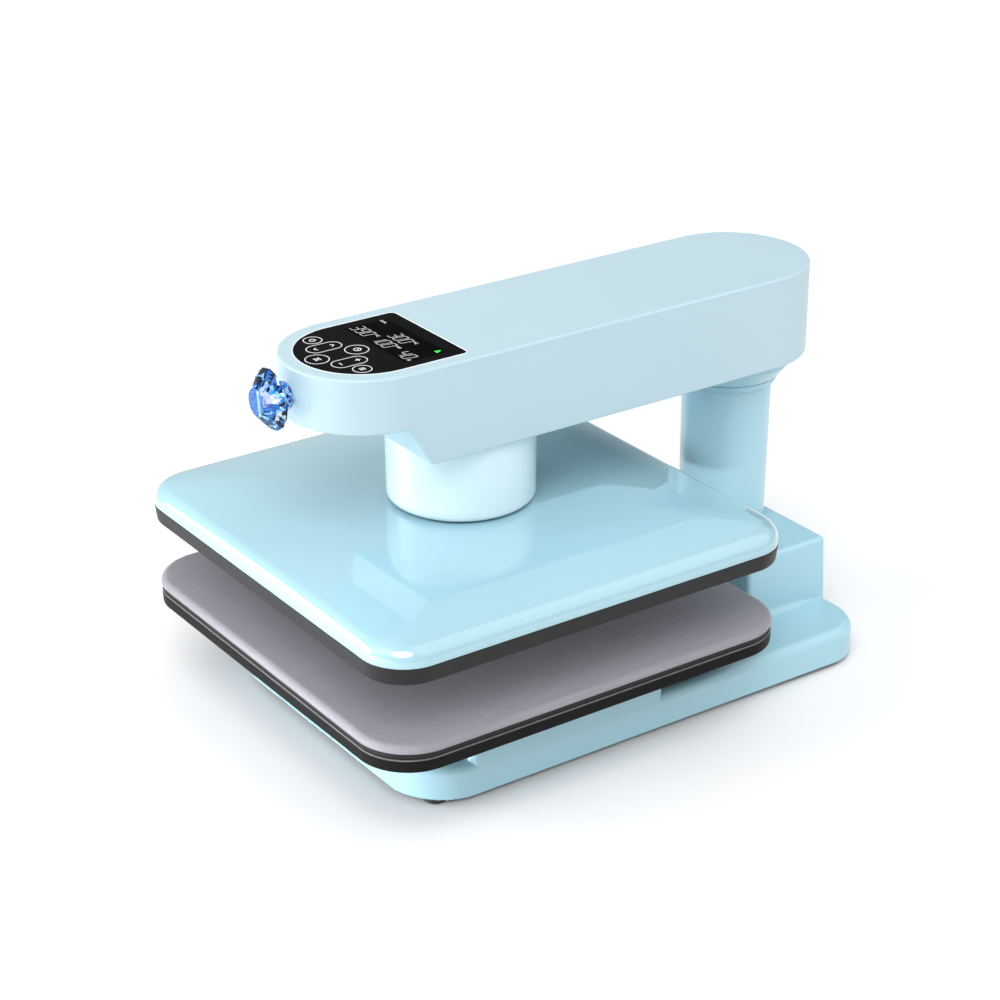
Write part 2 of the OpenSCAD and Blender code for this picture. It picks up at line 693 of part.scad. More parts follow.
module head_bolts() {
    color(zinc) {
        for (a = [0:90:270])
            screw_down([62 * cos(a), yp + 62 * sin(a)], 4.2, 4, 2.5, z_flange + 6, 19);
        for (a = [45:90:315])
            screw_up([68 * cos(a), yp + 68 * sin(a)], 3.5, 2.4, 2, z_flange, 9.5);
        for (p = rim_bolts) screw_down([p[0], yp + p[1]], 4, 2.5, 2, z_rim1, 11);
    }
}
module heat_platen() {
    color(alu) difference() {
        translate([0, yp, z_heat]) linear_extrude(heat_t)
            rrect(platen_w - 8.4, platen_w - 8.4, platen_r - 4.2);
        for (a = [0:90:270]) rod([62 * cos(a), yp + 62 * sin(a)], 2.5, z_flange - 13.5, z_heat1 + 1);
        for (p = rim_bolts) rod([p[0], yp + p[1]], 2, z_rim1 - 11.5, z_heat1 + 1);
    }
}
module heating_element() {
    r = 3.2;
    color(steel) translate([0, yp, z_heat1 + r]) {
        for (s = [-1, 1]) {
            translate([s * 125, -95, 0]) rotate([-90, 0, 0]) cylinder(r = r, h = 215);
            translate([s * 95, -95, 0]) rotate(s > 0 ? 270 : 180)
                rotate_extrude(angle = 90) translate([30, 0]) circle(r);
        }
        translate([-95, -125, 0]) rotate([0, 90, 0]) cylinder(r = r, h = 190);
    }
}
module thermal_cutout() {
    color(black) translate([0, yp, 0]) {
        rod([0, 110], 9, z_heat1, z_heat1 + 6.2);
        translate([-5, 99, z_heat1]) cube([10, 22, 2]);
    }
}
module insulation_sheet() {
    color([0.9, 0.88, 0.8]) translate([0, yp, z_heat1 + 6.4]) linear_extrude(7) difference() {
        rrect(350, 350, 25);
        circle(83);
    }
}
module platen_rim() {
    color(dark) translate([0, yp, 0]) difference() {
        translate([0, 0, z_rim0]) linear_extrude(z_rim1 - z_rim0) rrect(platen_w, platen_w, platen_r);
        translate([0, 0, z_rim0 - 1]) linear_extrude(z_heat1 - z_rim0 + 1)
            rrect(platen_w - 7.6, platen_w - 7.6, platen_r - 3.8);
        translate([0, 0, z_rim0]) linear_extrude(20) rrect(352, 352, 22);
        for (p = rim_bolts) rod(p, 2.2, z_rim0, z_rim1 + 1);
    }
}
// Section of the cover, o inside its outer face: a small radius at each side
// runs into a large one, and that into a flat middle
module cover_section(w, z0, o) {
    f = 13.6;
    big = 435;
    run = sqrt(pow(big - f, 2) - pow(big - f - cover_rise, 2));
    mid = w / 2 - f - run;
    join = w / 2 - f + (f - o) * run / (big - f);
    top = z_dome - o;
    intersection() {
        union() {
            translate([-join, z0]) square([2 * join, 40]);
            translate([-w / 2 + o, z0]) square([w - 2 * o, z_cov - f - z0]);
            for (s = [-1, 1]) translate([s * (w / 2 - f), z_cov - f]) circle(f - o);
        }
        union() {
            translate([-mid, z0]) square([2 * mid, top - z0]);
            for (s = [0, 1]) mirror([s, 0]) intersection() {
                translate([mid, z_dome - big]) circle(big - o, $fn = 720);
                translate([mid - 0.01, z0]) square([w / 2 - mid, 40]);
            }
        }
    }
}
module cover_body(w, r, z0, o) {
    intersection() {
        translate([0, 0, z0]) soft_slab(w - 2 * o, w - 2 * o, z_dome - o - z0, r - o, 20 - o);
        translate([0, w, 0]) rotate([90, 0, 0]) linear_extrude(2 * w) cover_section(w, z0, o);
        rotate([0, 0, 90]) translate([0, w, 0]) rotate([90, 0, 0]) linear_extrude(2 * w) cover_section(w, z0, o);
    }
}
module platen_cover() {
    w = platen_w - 1.2;
    r = platen_r - 0.6;
    color(gloss_blue) translate([0, yp, 0]) {
        difference() {
            cover_body(w, r, z_rim1, 0);
            cover_body(w, r, z_rim1 - 1, 3);
            rod([0, 0], ram_r + 0.6, z_dome - 5, z_dome + 1);
        }
        for (a = [45:90:315]) difference() {
            rod([68 * cos(a), 68 * sin(a)], 5, z_flange + 6, z_dome - 2);
            rod([68 * cos(a), 68 * sin(a)], 2, z_flange + 5, z_flange + 9.6);
        }
    }
}

base_shell();
base_plate();
rubber_feet();
base_screws();
support_pillars();
lower_tray();
pad_plate();
press_pad();
tray_screws();
column_post();
column_bolts();
column_cover();
post_collar();
thrust_washer();
post_retainer();
power_inlet();
inlet_pins();
inlet_screws();
switch_frame();
power_rocker();
power_board();
arm_housing();
arm_belly_cover();
arm_frame();
arm_screws();
belly_screws();
swing_bushes();
swing_stop_pin();
swing_collar();
collar_screws();
control_panel();
panel_trim();
display_board();
control_board();
drive_motor();
motor_screws();
motor_pinion();
screw_gear();
lead_screw();
screw_collar();
screw_bearing();
ram_guide();
guide_keys();
guide_screws();
limit_switch();
ram_shroud();
shroud_screws();
knob_screw();
crystal_knob();
ram_tube();
ram_nut();
ram_flange();
platen_standoffs();
head_bolts();
heat_platen();
heating_element();
thermal_cutout();
insulation_sheet();
platen_rim();
platen_cover();
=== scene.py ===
"""Looks of an automatic heat press: satin mouldings, a glossy platen cover, a
fabric pad, a touch panel and a cut-crystal knob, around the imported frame."""

import math

import bmesh
import bpy
import numpy as np
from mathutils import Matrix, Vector
from mathutils.geometry import tessellate_polygon


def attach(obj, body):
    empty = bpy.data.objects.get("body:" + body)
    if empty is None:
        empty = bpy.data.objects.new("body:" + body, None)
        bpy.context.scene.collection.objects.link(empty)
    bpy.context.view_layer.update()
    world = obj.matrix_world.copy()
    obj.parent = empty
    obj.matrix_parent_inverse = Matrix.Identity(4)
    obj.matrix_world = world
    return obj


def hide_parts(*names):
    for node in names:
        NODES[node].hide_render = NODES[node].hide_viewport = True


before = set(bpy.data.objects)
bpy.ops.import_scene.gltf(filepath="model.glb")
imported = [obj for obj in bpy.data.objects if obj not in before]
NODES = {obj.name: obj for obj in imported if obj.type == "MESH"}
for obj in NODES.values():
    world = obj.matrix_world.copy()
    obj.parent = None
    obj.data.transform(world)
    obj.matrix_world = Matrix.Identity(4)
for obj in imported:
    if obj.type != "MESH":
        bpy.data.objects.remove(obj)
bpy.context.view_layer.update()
scene = bpy.context.scene
MM = 0.001

# Plan positions and heights of the model, in millimetres
YC, YP, YN = 203.05, -74.65, -164.95
YB, YR = 16.65, 246.75
Y_RISER = YP - 0.4
Z_BASE, Z_SLAB, Z_TRAY, Z_TRAY1 = 4.0, 34.0, 70.3, 81.0
Z_PAD0, Z_PAD1, Z_PED = 85.8, 92.75, 89.4
Z_HEAT1, Z_RIM0, Z_RIM1 = 154.5, 144.95, 159.2
Z_DOME, Z_SHROUD, Z_BELLY, Z_NOSE = 182.0, 183.3, 249.1, 283.4
Z_CEIL, Z_TOP, Z_KNOB = 325.2, 328.7, 306.05
ARM_R = 66.4
Y_FRONT = YN - ARM_R

# ---- camera and colour ------------------------------------------------------
cam_data = bpy.data.cameras.new("camera")
cam = bpy.data.objects.new("camera", cam_data)
scene.collection.objects.link(cam)
cam.location = (1.5195, -1.0999, 1.0285)
cam.rotation_euler = (math.radians(65.05), 0.0, math.radians(55.0))
cam_data.lens = 89.4
cam_data.sensor_width = 36.0
cam_data.clip_start, cam_data.clip_end = 0.05, 60.0
scene.camera = cam
scene.view_settings.view_transform = "Standard"
scene.view_settings.look = "None"


# ---- materials --------------------------------------------------------------
class Mat:
    """A principled material with a few helpers for procedural inputs."""

    def __init__(self, name):
        self.m = bpy.data.materials.new(name)
        self.m.use_nodes = True
        self.t = self.m.node_tree
        self.b = self.t.nodes["Principled BSDF"]
        self.coord = self.t.nodes.new("ShaderNodeTexCoord")
        self.normal = None

    def set(self, **values):
        for key, value in values.items():
            self.b.inputs[key.replace("_", " ")].default_value = value
        return self

    def new(self, kind, **values):
        n = self.t.nodes.new(kind)
        for key, value in values.items():
            if key in n.inputs:
                n.inputs[key].default_value = value
            else:
                setattr(n, key, value)
        return n

    def link(self, a, b):
        self.t.links.new(a, b)

    def at(self, stretch=(1, 1, 1), turn=0.0):
        n = self.new("ShaderNodeMapping")
        n.inputs["Scale"].default_value = stretch
        n.inputs["Rotation"].default_value = (0, 0, turn)
        self.link(self.coord.outputs["Object"], n.inputs["Vector"])
        return n.outputs["Vector"]

    def noise(self, scale, detail=3.0, stretch=(1, 1, 1), rough=0.5):
        n = self.new("ShaderNodeTexNoise")
        n.inputs["Scale"].default_value = scale
        n.inputs["Detail"].default_value = detail
        n.inputs["Roughness"].default_value = rough
        self.link(self.at(stretch), n.inputs["Vector"])
        return n.outputs["Fac"]

    def wave(self, scale, axis, distort=0.0, turn=0.0):
        n = self.new("ShaderNodeTexWave", wave_type="BANDS", bands_direction=axis)
        n.inputs["Scale"].default_value = scale
        n.inputs["Distortion"].default_value = distort
        n.inputs["Detail"].default_value = 1.0
        self.link(self.at(turn=turn), n.inputs["Vector"])
        return n.outputs["Fac"]

    def voronoi(self, scale, stretch=(1, 1, 1), out="Distance"):
        n = self.new("ShaderNodeTexVoronoi")
        n.inputs["Scale"].default_value = scale
        self.link(self.at(stretch), n.inputs["Vector"])
        return n.outputs[out]

    def ramp(self, fac, *stops):
        n = self.new("ShaderNodeValToRGB")
        e = n.color_ramp.elements
        while len(e) < len(stops):
            e.new(0.5)
        for x, (pos, colour) in zip(e, stops):
            x.position = pos
            x.color = (*colour, 1.0) if len(colour) == 3 else colour
        self.link(fac, n.inputs["Fac"])
        return n.outputs["Color"]

    def span(self, fac, low, high, a=0.0, b=1.0):
        n = self.new("ShaderNodeMapRange")
        n.inputs["From Min"].default_value = a
        n.inputs["From Max"].default_value = b
        n.inputs["To Min"].default_value = low
        n.inputs["To Max"].default_value = high
        self.link(fac, n.inputs["Value"])
        return n.outputs["Result"]

    def math(self, op, a, b):
        n = self.new("ShaderNodeMath", operation=op)
        for i, v in enumerate((a, b)):
            if isinstance(v, (int, float)):
                n.inputs[i].default_value = v
            else:
                self.link(v, n.inputs[i])
        return n.outputs[0]

    def mix(self, fac, a, b):
        n = self.new("ShaderNodeMix", data_type="RGBA")
        for key, v in ((0, fac), (6, a), (7, b)):
            if isinstance(v, (int, float)):
                n.inputs[key].default_value = v
            elif isinstance(v, tuple):
                n.inputs[key].default_value = (*v, 1.0)
            else:
                self.link(v, n.inputs[key])
        return n.outputs[2]

    def colour(self, socket):
        self.link(socket, self.b.inputs["Base Color"])
        return self

    def rough(self, socket):
        self.link(socket, self.b.inputs["Roughness"])
        return self

    def bump(self, height, depth, strength=1.0):
        n = self.new("ShaderNodeBump")
        n.inputs["Strength"].default_value = strength
        n.inputs["Distance"].default_value = depth
        self.link(height, n.inputs["Height"])
        if self.normal is not None:
            self.link(self.normal, n.inputs["Normal"])
        self.normal = n.outputs["Normal"]
        self.link(self.normal, self.b.inputs["Normal"])
        return self


def scaled(c, k):
    return tuple(min(1.0, x * k) for x in c)


def satin(name, c, rough=(0.34, 0.42), grain=2.2e-5, coat=0.12):
    m = Mat(name)
    m.colour(m.ramp(m.noise(9, 2), (0.3, scaled(c, 0.985)), (0.7, scaled(c, 1.012))))
    m.rough(m.span(m.noise(420, 2), rough[0], rough[1], 0.3, 0.7))
    if grain:
        m.bump(m.noise(1500, 2), grain, 0.5)
    m.set(Coat_Weight=coat, Coat_Roughness=0.12)
    return m.m


def brushed(name, c, rough=(0.28, 0.42), stretch=(1, 40, 40), metal=1.0):
    m = Mat(name)
    lines = m.noise(700, 3, tuple(1 / s for s in stretch))
    m.colour(m.ramp(lines, (0.3, scaled(c, 0.9)), (0.7, scaled(c, 1.06))))
    m.rough(m.span(lines, rough[0], rough[1], 0.3, 0.7))
    m.bump(lines, 1.2e-5, 0.6)
    m.set(Metallic=metal)
    return m.m


BLUE = (0.440, 0.585, 0.645)
GLOSS = (0.318, 0.530, 0.606)

body_mat = satin("satin_blue", BLUE)
base_mat = satin("base_blue", (0.345, 0.575, 0.660), (0.28, 0.34), 0.8e-5, 0.3)
column_mat = satin("column_blue", (0.385, 0.625, 0.715), (0.30, 0.34), 0.0, 0.2)
# painted light: the belly cover is a paler blue than the arm, so its slope reads as brightly lit
belly_lit_mat = satin("belly_blue_painted_light", (0.560, 0.720, 0.780))
# painted light: the shroud is a paler blue than the arm, standing in for the strong front light on it
shroud_lit_mat = satin("shroud_blue_painted_light", (0.660, 0.810, 0.860), (0.16, 0.22), 1.0e-5, 0.5)

g = Mat("gloss_blue")
g.colour(g.ramp(g.noise(5, 2), (0.3, scaled(GLOSS, 0.985)), (0.7, scaled(GLOSS, 1.015))))
g.rough(g.span(g.noise(60, 2), 0.020, 0.038, 0.3, 0.7))
g.bump(g.noise(42, 1), 6e-6, 0.3)
g.set(Coat_Weight=1.0, Coat_Roughness=0.012, Coat_IOR=1.6, IOR=1.6)
gloss_mat = g.m

d = Mat("dark_coat")
d.colour(d.ramp(d.noise(900, 3), (0.3, (0.011, 0.011, 0.0115)), (0.7, (0.016, 0.016, 0.0165))))
d.rough(d.span(d.noise(500, 2), 0.38, 0.50, 0.3, 0.7))
d.bump(d.noise(1800, 2), 2.5e-5, 0.6)
d.set(Specular_IOR_Level=0.26)
dark_mat = d.m

p = Mat("pad_weave")
over = p.wave(620, "X", 0.4)
under = p.wave(620, "Y", 0.4)
streak = p.noise(900, 3, (1.0, 0.035, 1.0), 0.6)
cross = p.noise(900, 3, (0.035, 1.0, 1.0), 0.6)
cloud = p.noise(14, 3)
tone = p.math("ADD", p.math("MULTIPLY", streak, 0.55), p.math("MULTIPLY", cross, 0.25))
tone = p.math("ADD", tone, p.math("MULTIPLY", cloud, 0.20))
p.colour(p.ramp(tone, (0.30, (0.210, 0.206, 0.231)), (0.50, (0.248, 0.243, 0.272)), (0.70, (0.288, 0.283, 0.314))))
p.rough(p.span(streak, 0.58, 0.74, 0.3, 0.7))
p.bump(p.math("MULTIPLY", over, under), 5e-5, 0.5)
p.bump(streak, 4e-5, 0.5)
p.set(Sheen_Weight=0.35, Sheen_Roughness=0.35, Sheen_Tint=(0.9, 0.88, 0.95, 1.0))
pad_mat = p.m

# painted shade: a darker copy of the dark coat for the lower tray, standing in for the shade it sits in near the floor
d = Mat("tray_coat_painted_shade")
d.colour(d.ramp(d.noise(900, 3), (0.3, (0.0060, 0.0059, 0.0060)), (0.7, (0.0092, 0.0090, 0.0091))))
d.rough(d.span(d.noise(500, 2), 0.40, 0.52, 0.3, 0.7))
d.bump(d.noise(1800, 2), 2.5e-5, 0.6)
d.set(Specular_IOR_Level=0.07)
tray_shade_mat = d.m

# painted highlight: a paler coat for the tray's upper edge, standing in for the light line where the edge catches the
# light
d = Mat("tray_edge_painted_highlight")
d.colour(d.ramp(d.noise(260, 3), (0.3, (0.070, 0.069, 0.070)), (0.7, (0.120, 0.118, 0.118))))
d.rough(d.span(d.noise(500, 2), 0.26, 0.38, 0.3, 0.7))
d.bump(d.noise(1800, 2), 1.0e-5, 0.5)
lip_highlight_mat = d.m

r = Mat("rubber_black")
r.colour(r.ramp(r.noise(300, 3), (0.3, (0.018, 0.018, 0.019)), (0.7, (0.032, 0.032, 0.033))))
r.rough(r.span(r.noise(500, 2), 0.62, 0.78))
r.bump(r.noise(1200, 2), 4e-5, 0.6)
rubber_mat = r.m

k = Mat("panel_glass")
k.colour(k.ramp(k.noise(30, 2), (0.3, (0.0036, 0.0036, 0.0040)), (0.7, (0.0048, 0.0048, 0.0052))))
k.rough(k.span(k.noise(220, 2), 0.24, 0.30, 0.3, 0.7))
k.bump(k.noise(900, 1), 1.5e-6, 0.2)
k.set(Specular_IOR_Level=0.01)
panel_mat = k.m

k = Mat("display_glass")
k.colour(k.ramp(k.noise(30, 2), (0.3, (0.0008, 0.0008, 0.001)), (0.7, (0.0016, 0.0016, 0.0019))))
k.rough(k.span(k.noise(220, 2), 0.20, 0.26, 0.3, 0.7))
k.set(Specular_IOR_Level=0.006)
window_mat = k.m


def glow(name, c, power):
    m = Mat(name)
    tint = m.ramp(m.noise(600, 1), (0.3, scaled(c, 0.93)), (0.7, c))
    m.colour(tint)
    m.link(tint, m.b.inputs["Emission Color"])
    m.set(Emission_Strength=power, Roughness=0.4)
    return m.m


digit_mat = glow("display_white", (0.40, 0.41, 0.42), 0.62)
green_mat = glow("display_green", (0.02, 0.75, 0.05), 0.7)
key_mat = glow("key_print", (0.60, 0.60, 0.61), 0.20)
icon_mat = glow("icon_print", (0.72, 0.72, 0.73), 0.30)
# partly painted highlight: the trim ring is a real part, and its near-white colour stands in for the bright line along
# the recess edge
bead_highlight_mat = satin("panel_edge", (0.90, 0.97, 0.98), (0.12, 0.18), 4e-6, 0.4)

steel_mat = brushed("machined_steel", (0.52, 0.53, 0.55))
zinc_mat = brushed("zinc_plate", (0.60, 0.61, 0.62), (0.30, 0.40), (8, 8, 8))
bronze_mat = brushed("bronze", (0.60, 0.42, 0.20), (0.26, 0.36))
alu_mat = brushed("ground_aluminium", (0.70, 0.71, 0.72), (0.30, 0.44), (40, 1, 40))
ram_mat = brushed("ram_aluminium", (0.66, 0.67, 0.69), (0.22, 0.34), (30, 30, 1))
plate_mat = brushed("base_steel", (0.34, 0.35, 0.37), (0.40, 0.52), (40, 1, 40))

b = Mat("black_plastic")
b.colour(b.ramp(b.noise(200, 2), (0.3, (0.014, 0.014, 0.015)), (0.7, (0.022, 0.022, 0.023))))
b.rough(b.span(b.noise(700, 2), 0.36, 0.50, 0.3, 0.7))
b.bump(b.noise(1600, 2), 3e-5, 0.6)
black_mat = b.m

b = Mat("circuit_board")
b.colour(b.ramp(b.voronoi(260), (0.20, (0.02, 0.10, 0.045)), (0.60, (0.03, 0.17, 0.08))))
b.rough(b.span(b.noise(300, 2), 0.32, 0.46))
board_mat = b.m

nylon_mat = satin("gear_nylon", (0.78, 0.77, 0.68), (0.42, 0.5))
ceramic_mat = satin("ceramic", (0.80, 0.77, 0.68), (0.55, 0.65))
f = Mat("felt")
f.colour(f.ramp(f.noise(700, 4), (0.3, (0.62, 0.59, 0.50)), (0.7, (0.80, 0.77, 0.68))))
f.rough(f.span(f.noise(500, 2), 0.85, 0.95))
f.bump(f.noise(900, 4), 2e-4, 0.7)
felt_mat = f.m


def crystal(name, dark, mid, light, cell, through):
    """Cut glass: a tone of inner reflection under a clear polished face."""
    m = Mat(name)
    v = m.new("ShaderNodeTexVoronoi", feature="F1")
    v.inputs["Scale"].default_value = cell
    m.link(m.at((1.0, 0.55, 1.25), 0.5), v.inputs["Vector"])
    sep = m.new("ShaderNodeSeparateColor")
    m.link(v.outputs["Color"], sep.inputs["Color"])
    m.colour(m.ramp(sep.outputs["Red"], (0.10, dark), (0.35, mid), (0.70, mid), (0.92, light)))
    m.rough(m.span(m.noise(300, 1), 0.015, 0.04))
    m.set(IOR=1.32, Transmission_Weight=through, Coat_Weight=0.2, Coat_Roughness=0.01)
    return m.m


crystal_reflection_mats = [
    crystal("crystal_navy", (0.0004, 0.0006, 0.002), (0.0010, 0.0024, 0.012), (0.005, 0.020, 0.11), 330, 0.03),
    crystal("crystal_blue", (0.010, 0.072, 0.32), (0.016, 0.115, 0.420), (0.032, 0.17, 0.54), 260, 0.06),
    crystal("crystal_cyan", (0.06, 0.26, 0.62), (0.17, 0.47, 0.80), (0.38, 0.70, 0.92), 330, 0.08),
    crystal("crystal_pale", (0.18, 0.26, 0.56), (0.36, 0.43, 0.68), (0.54, 0.60, 0.78), 240, 0.12),
    crystal("crystal_clear", (0.34, 0.52, 0.70), (0.70, 0.79, 0.86), (0.88, 0.92, 0.95), 330, 0.20),
]


# ---- mesh building ----------------------------------------------------------
class Mesh:
    """Vertices in millimetres and faces."""

    def __init__(self):
        self.v, self.f, self.slots = [], [], []

    def ring(self, xy, z):
        z = np.broadcast_to(np.asarray(z, float), (len(xy),))
        first = len(self.v)
        self.v += [(float(q[0]), float(q[1]), float(h)) for q, h in zip(xy, z)]
        return list(range(first, first + len(xy)))

    def bridge(self, a, b):
        n = len(a)
        for i in range(n):
            j = (i + 1) % n
            self.f.append((a[i], b[i], b[j], a[j]))

    def chain(self, rings, closed=False):
        for a, b in zip(rings, rings[1:]):
            self.bridge(a, b)
        if closed:
            self.bridge(rings[-1], rings[0])

    def fill(self, *loops):
        flat = [i for loop in loops for i in loop]
        lines = [[Vector(self.v[i]) for i in loop] for loop in loops]
        for t in tessellate_polygon(lines):
            self.f.append(tuple(flat[i] for i in t))

    def prism(self, xy, z0, z1):
        a, b = self.ring(xy, z1), self.ring(xy, z0)
        self.bridge(a, b)
        self.f.append(tuple(a))
        self.f.append(tuple(reversed(b)))

    def band(self, outer, inner, z0, z1):
        self.chain([self.ring(outer, z1), self.ring(outer, z0), self.ring(inner, z0), self.ring(inner, z1)], True)


def piece(name, mesh, mat, body, stands_for=(), sharp=34.0, weighted=True):
    me = bpy.data.meshes.new(name)
    me.from_pydata([(x * MM, y * MM, z * MM) for x, y, z in mesh.v], [], mesh.f)
    bm = bmesh.new()
    bm.from_mesh(me)
    bmesh.ops.remove_doubles(bm, verts=bm.verts, dist=1e-7)
    bmesh.ops.recalc_face_normals(bm, faces=bm.faces)
    bm.to_mesh(me)
    bm.free()
    for poly in me.polygons:
        poly.use_smooth = True
    me.set_sharp_from_angle(angle=math.radians(sharp))
    return place(name, me, mat, body, stands_for, weighted)


def place(name, me, mat, body, stands_for=(), weighted=True):
    ob = bpy.data.objects.new(name, me)
    scene.collection.objects.link(ob)
    for m in mat if isinstance(mat, list) else [mat]:
        me.materials.append(m)
    if weighted:
        w = ob.modifiers.new("normals", "WEIGHTED_NORMAL")
        w.keep_sharp = True
    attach(ob, body)
    if stands_for:
        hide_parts(*stands_for)
    return ob


def corners(turns, n):
    """Outline made of arcs: (centre x, centre y, radius, first angle, last angle)."""
    pts, nrm = [], []
    for cx, cy, rad, a0, a1 in turns:
        for i in range(n + 1):
            a = math.radians(a0 + (a1 - a0) * i / n)
            pts.append((cx + rad * math.cos(a), cy + rad * math.sin(a)))
            nrm.append((math.cos(a), math.sin(a)))
    return np.array(pts), np.array(nrm)


def rrect(w, l, rad, cx=0.0, cy=0.0, n=20):
    x, y = w / 2 - rad, l / 2 - rad
    return corners(
        [(cx + x, cy + y, rad, 0, 90), (cx - x, cy + y, rad, 90, 180), (cx - x, cy - y, rad, 180, 270), (cx + x, cy - y, rad, 270, 360)], n
    )


def circle(rad, cx=0.0, cy=0.0, n=128):
    a = np.arange(n) * 2 * math.pi / n
    nrm = np.stack([np.cos(a), np.sin(a)], 1)
    return np.array([cx, cy]) + rad * nrm, nrm


def arc(cd, cz, rad, a0, a1, n):
    """Profile points (inset, height) on an arc; angle 0 points outwards, 90 up."""
    out = []
    for i in range(n + 1):
        a = math.radians(a0 + (a1 - a0) * i / n)
        out.append((cd - rad * math.cos(a), cz + rad * math.sin(a)))
    return out


def loft(outline, profile, closed=True):
    """Carries an (inset, height) profile round an outline."""
    m = Mesh()
    pts, nrm = outline
    rings = [m.ring(pts - nrm * dd, zz) for dd, zz in profile]
    m.chain(rings, closed)
    return m, rings


def turned(profile, cx, cy, n=128):
    """Closed (radius, height) profile turned about an upright axis."""
    m = Mesh()
    rings = [m.ring(circle(rr, cx, cy, n)[0], zz) for rr, zz in profile]
    m.chain(rings, True)
    return m


def dee(rad, rear, cr, n=72):
    """Outline with a round front and a square rear, about the nose centre."""
    pts, _ = corners([(0, YN, rad, 180, 360)], n)
    rest, _ = corners([(rad - cr, YN + rear - cr, cr, 0, 90), (-rad + cr, YN + rear - cr, cr, 90, 180)], 8)
    return np.concatenate([pts, rest])


# ---- signed-distance mesh for the base moulding -----------------------------
def sd_rrect(x, y, hx, hy, rad):
    qx, qy = np.abs(x) - (hx - rad), np.abs(y) - (hy - rad)
    return np.hypot(np.maximum(qx, 0), np.maximum(qy, 0)) + np.minimum(np.maximum(qx, qy), 0) - rad


def sd_edge(a, b, f):
    """Inside of both a and b, with their common edge rounded to radius f."""
    a, b = a + f, b + f
    return np.hypot(np.maximum(a, 0), np.maximum(b, 0)) + np.minimum(np.maximum(a, b), 0) - f


def sd_join(a, b, f):
    """Either a or b, with a concave fillet of radius f between them."""
    return np.maximum(f, np.minimum(a, b)) - np.hypot(np.maximum(f - a, 0), np.maximum(f - b, 0))


def base_field(x, y, z):
    front, rear = np.where(y < YB, 50.0, 40.0), np.where(y < YB, 46.0, 36.0)
    plan = sd_rrect(x, y - YB, 152.3, 230.1, front)
    slab = np.maximum(sd_edge(plan, z - Z_SLAB, 8.3), sd_edge(plan, Z_BASE - z, 0.9))
    riser = sd_edge(sd_rrect(x, y - Y_RISER, 152.3, 93.5, np.where(y < Y_RISER, 8.0, 3.0)), z - Z_TRAY, 1.5)
    riser = np.maximum(riser, Z_BASE + 8 - z)
    half = 93.6 - 3.9 * (z - Z_SLAB) / 55.4
    ped = sd_edge(sd_rrect(x, y - 203.25, half, 43.5, 4.2), z - Z_PED, 3.6)
    ped = np.maximum(ped, Z_BASE + 8 - z)
    f = 6.0 * np.clip((YR - 12 - y) / 22.0, 0.01, 1.0)
    out = sd_join(slab, ped, f)
    f = 2.4 * np.clip((148.0 - np.abs(x)) / 8.0, 0.01, 1.0)
    out = sd_join(out, riser, f)
    c1 = sd_edge(sd_rrect(x, y - YB, 148.3, 226.1, rear), z - 30.0, 4.5)
    c2 = sd_edge(sd_rrect(x, y - Y_RISER, 148.3, 89.5, np.where(y < Y_RISER, 5.0, 3.0)), z - 66.3, 2.0)
    c3 = sd_edge(sd_rrect(x, y - 203.25, half - 4.0, 39.5, 3.0), z - 85.4, 3.0)
    hole = np.maximum(np.hypot(x, y - YC) - 30.0, 80.0 - z)
    inlet = np.maximum(sd_rrect(x + 36.0, z - 61.0, 14.2, 10.5, 1.0), 238.0 - y)
    switch = np.maximum(sd_rrect(x - 38.0, z - 61.0, 9.4, 12.4, 1.0), 238.0 - y)
    void = np.minimum.reduce([c1, c2, c3, hole, inlet, switch])
    return np.maximum(out, -void)


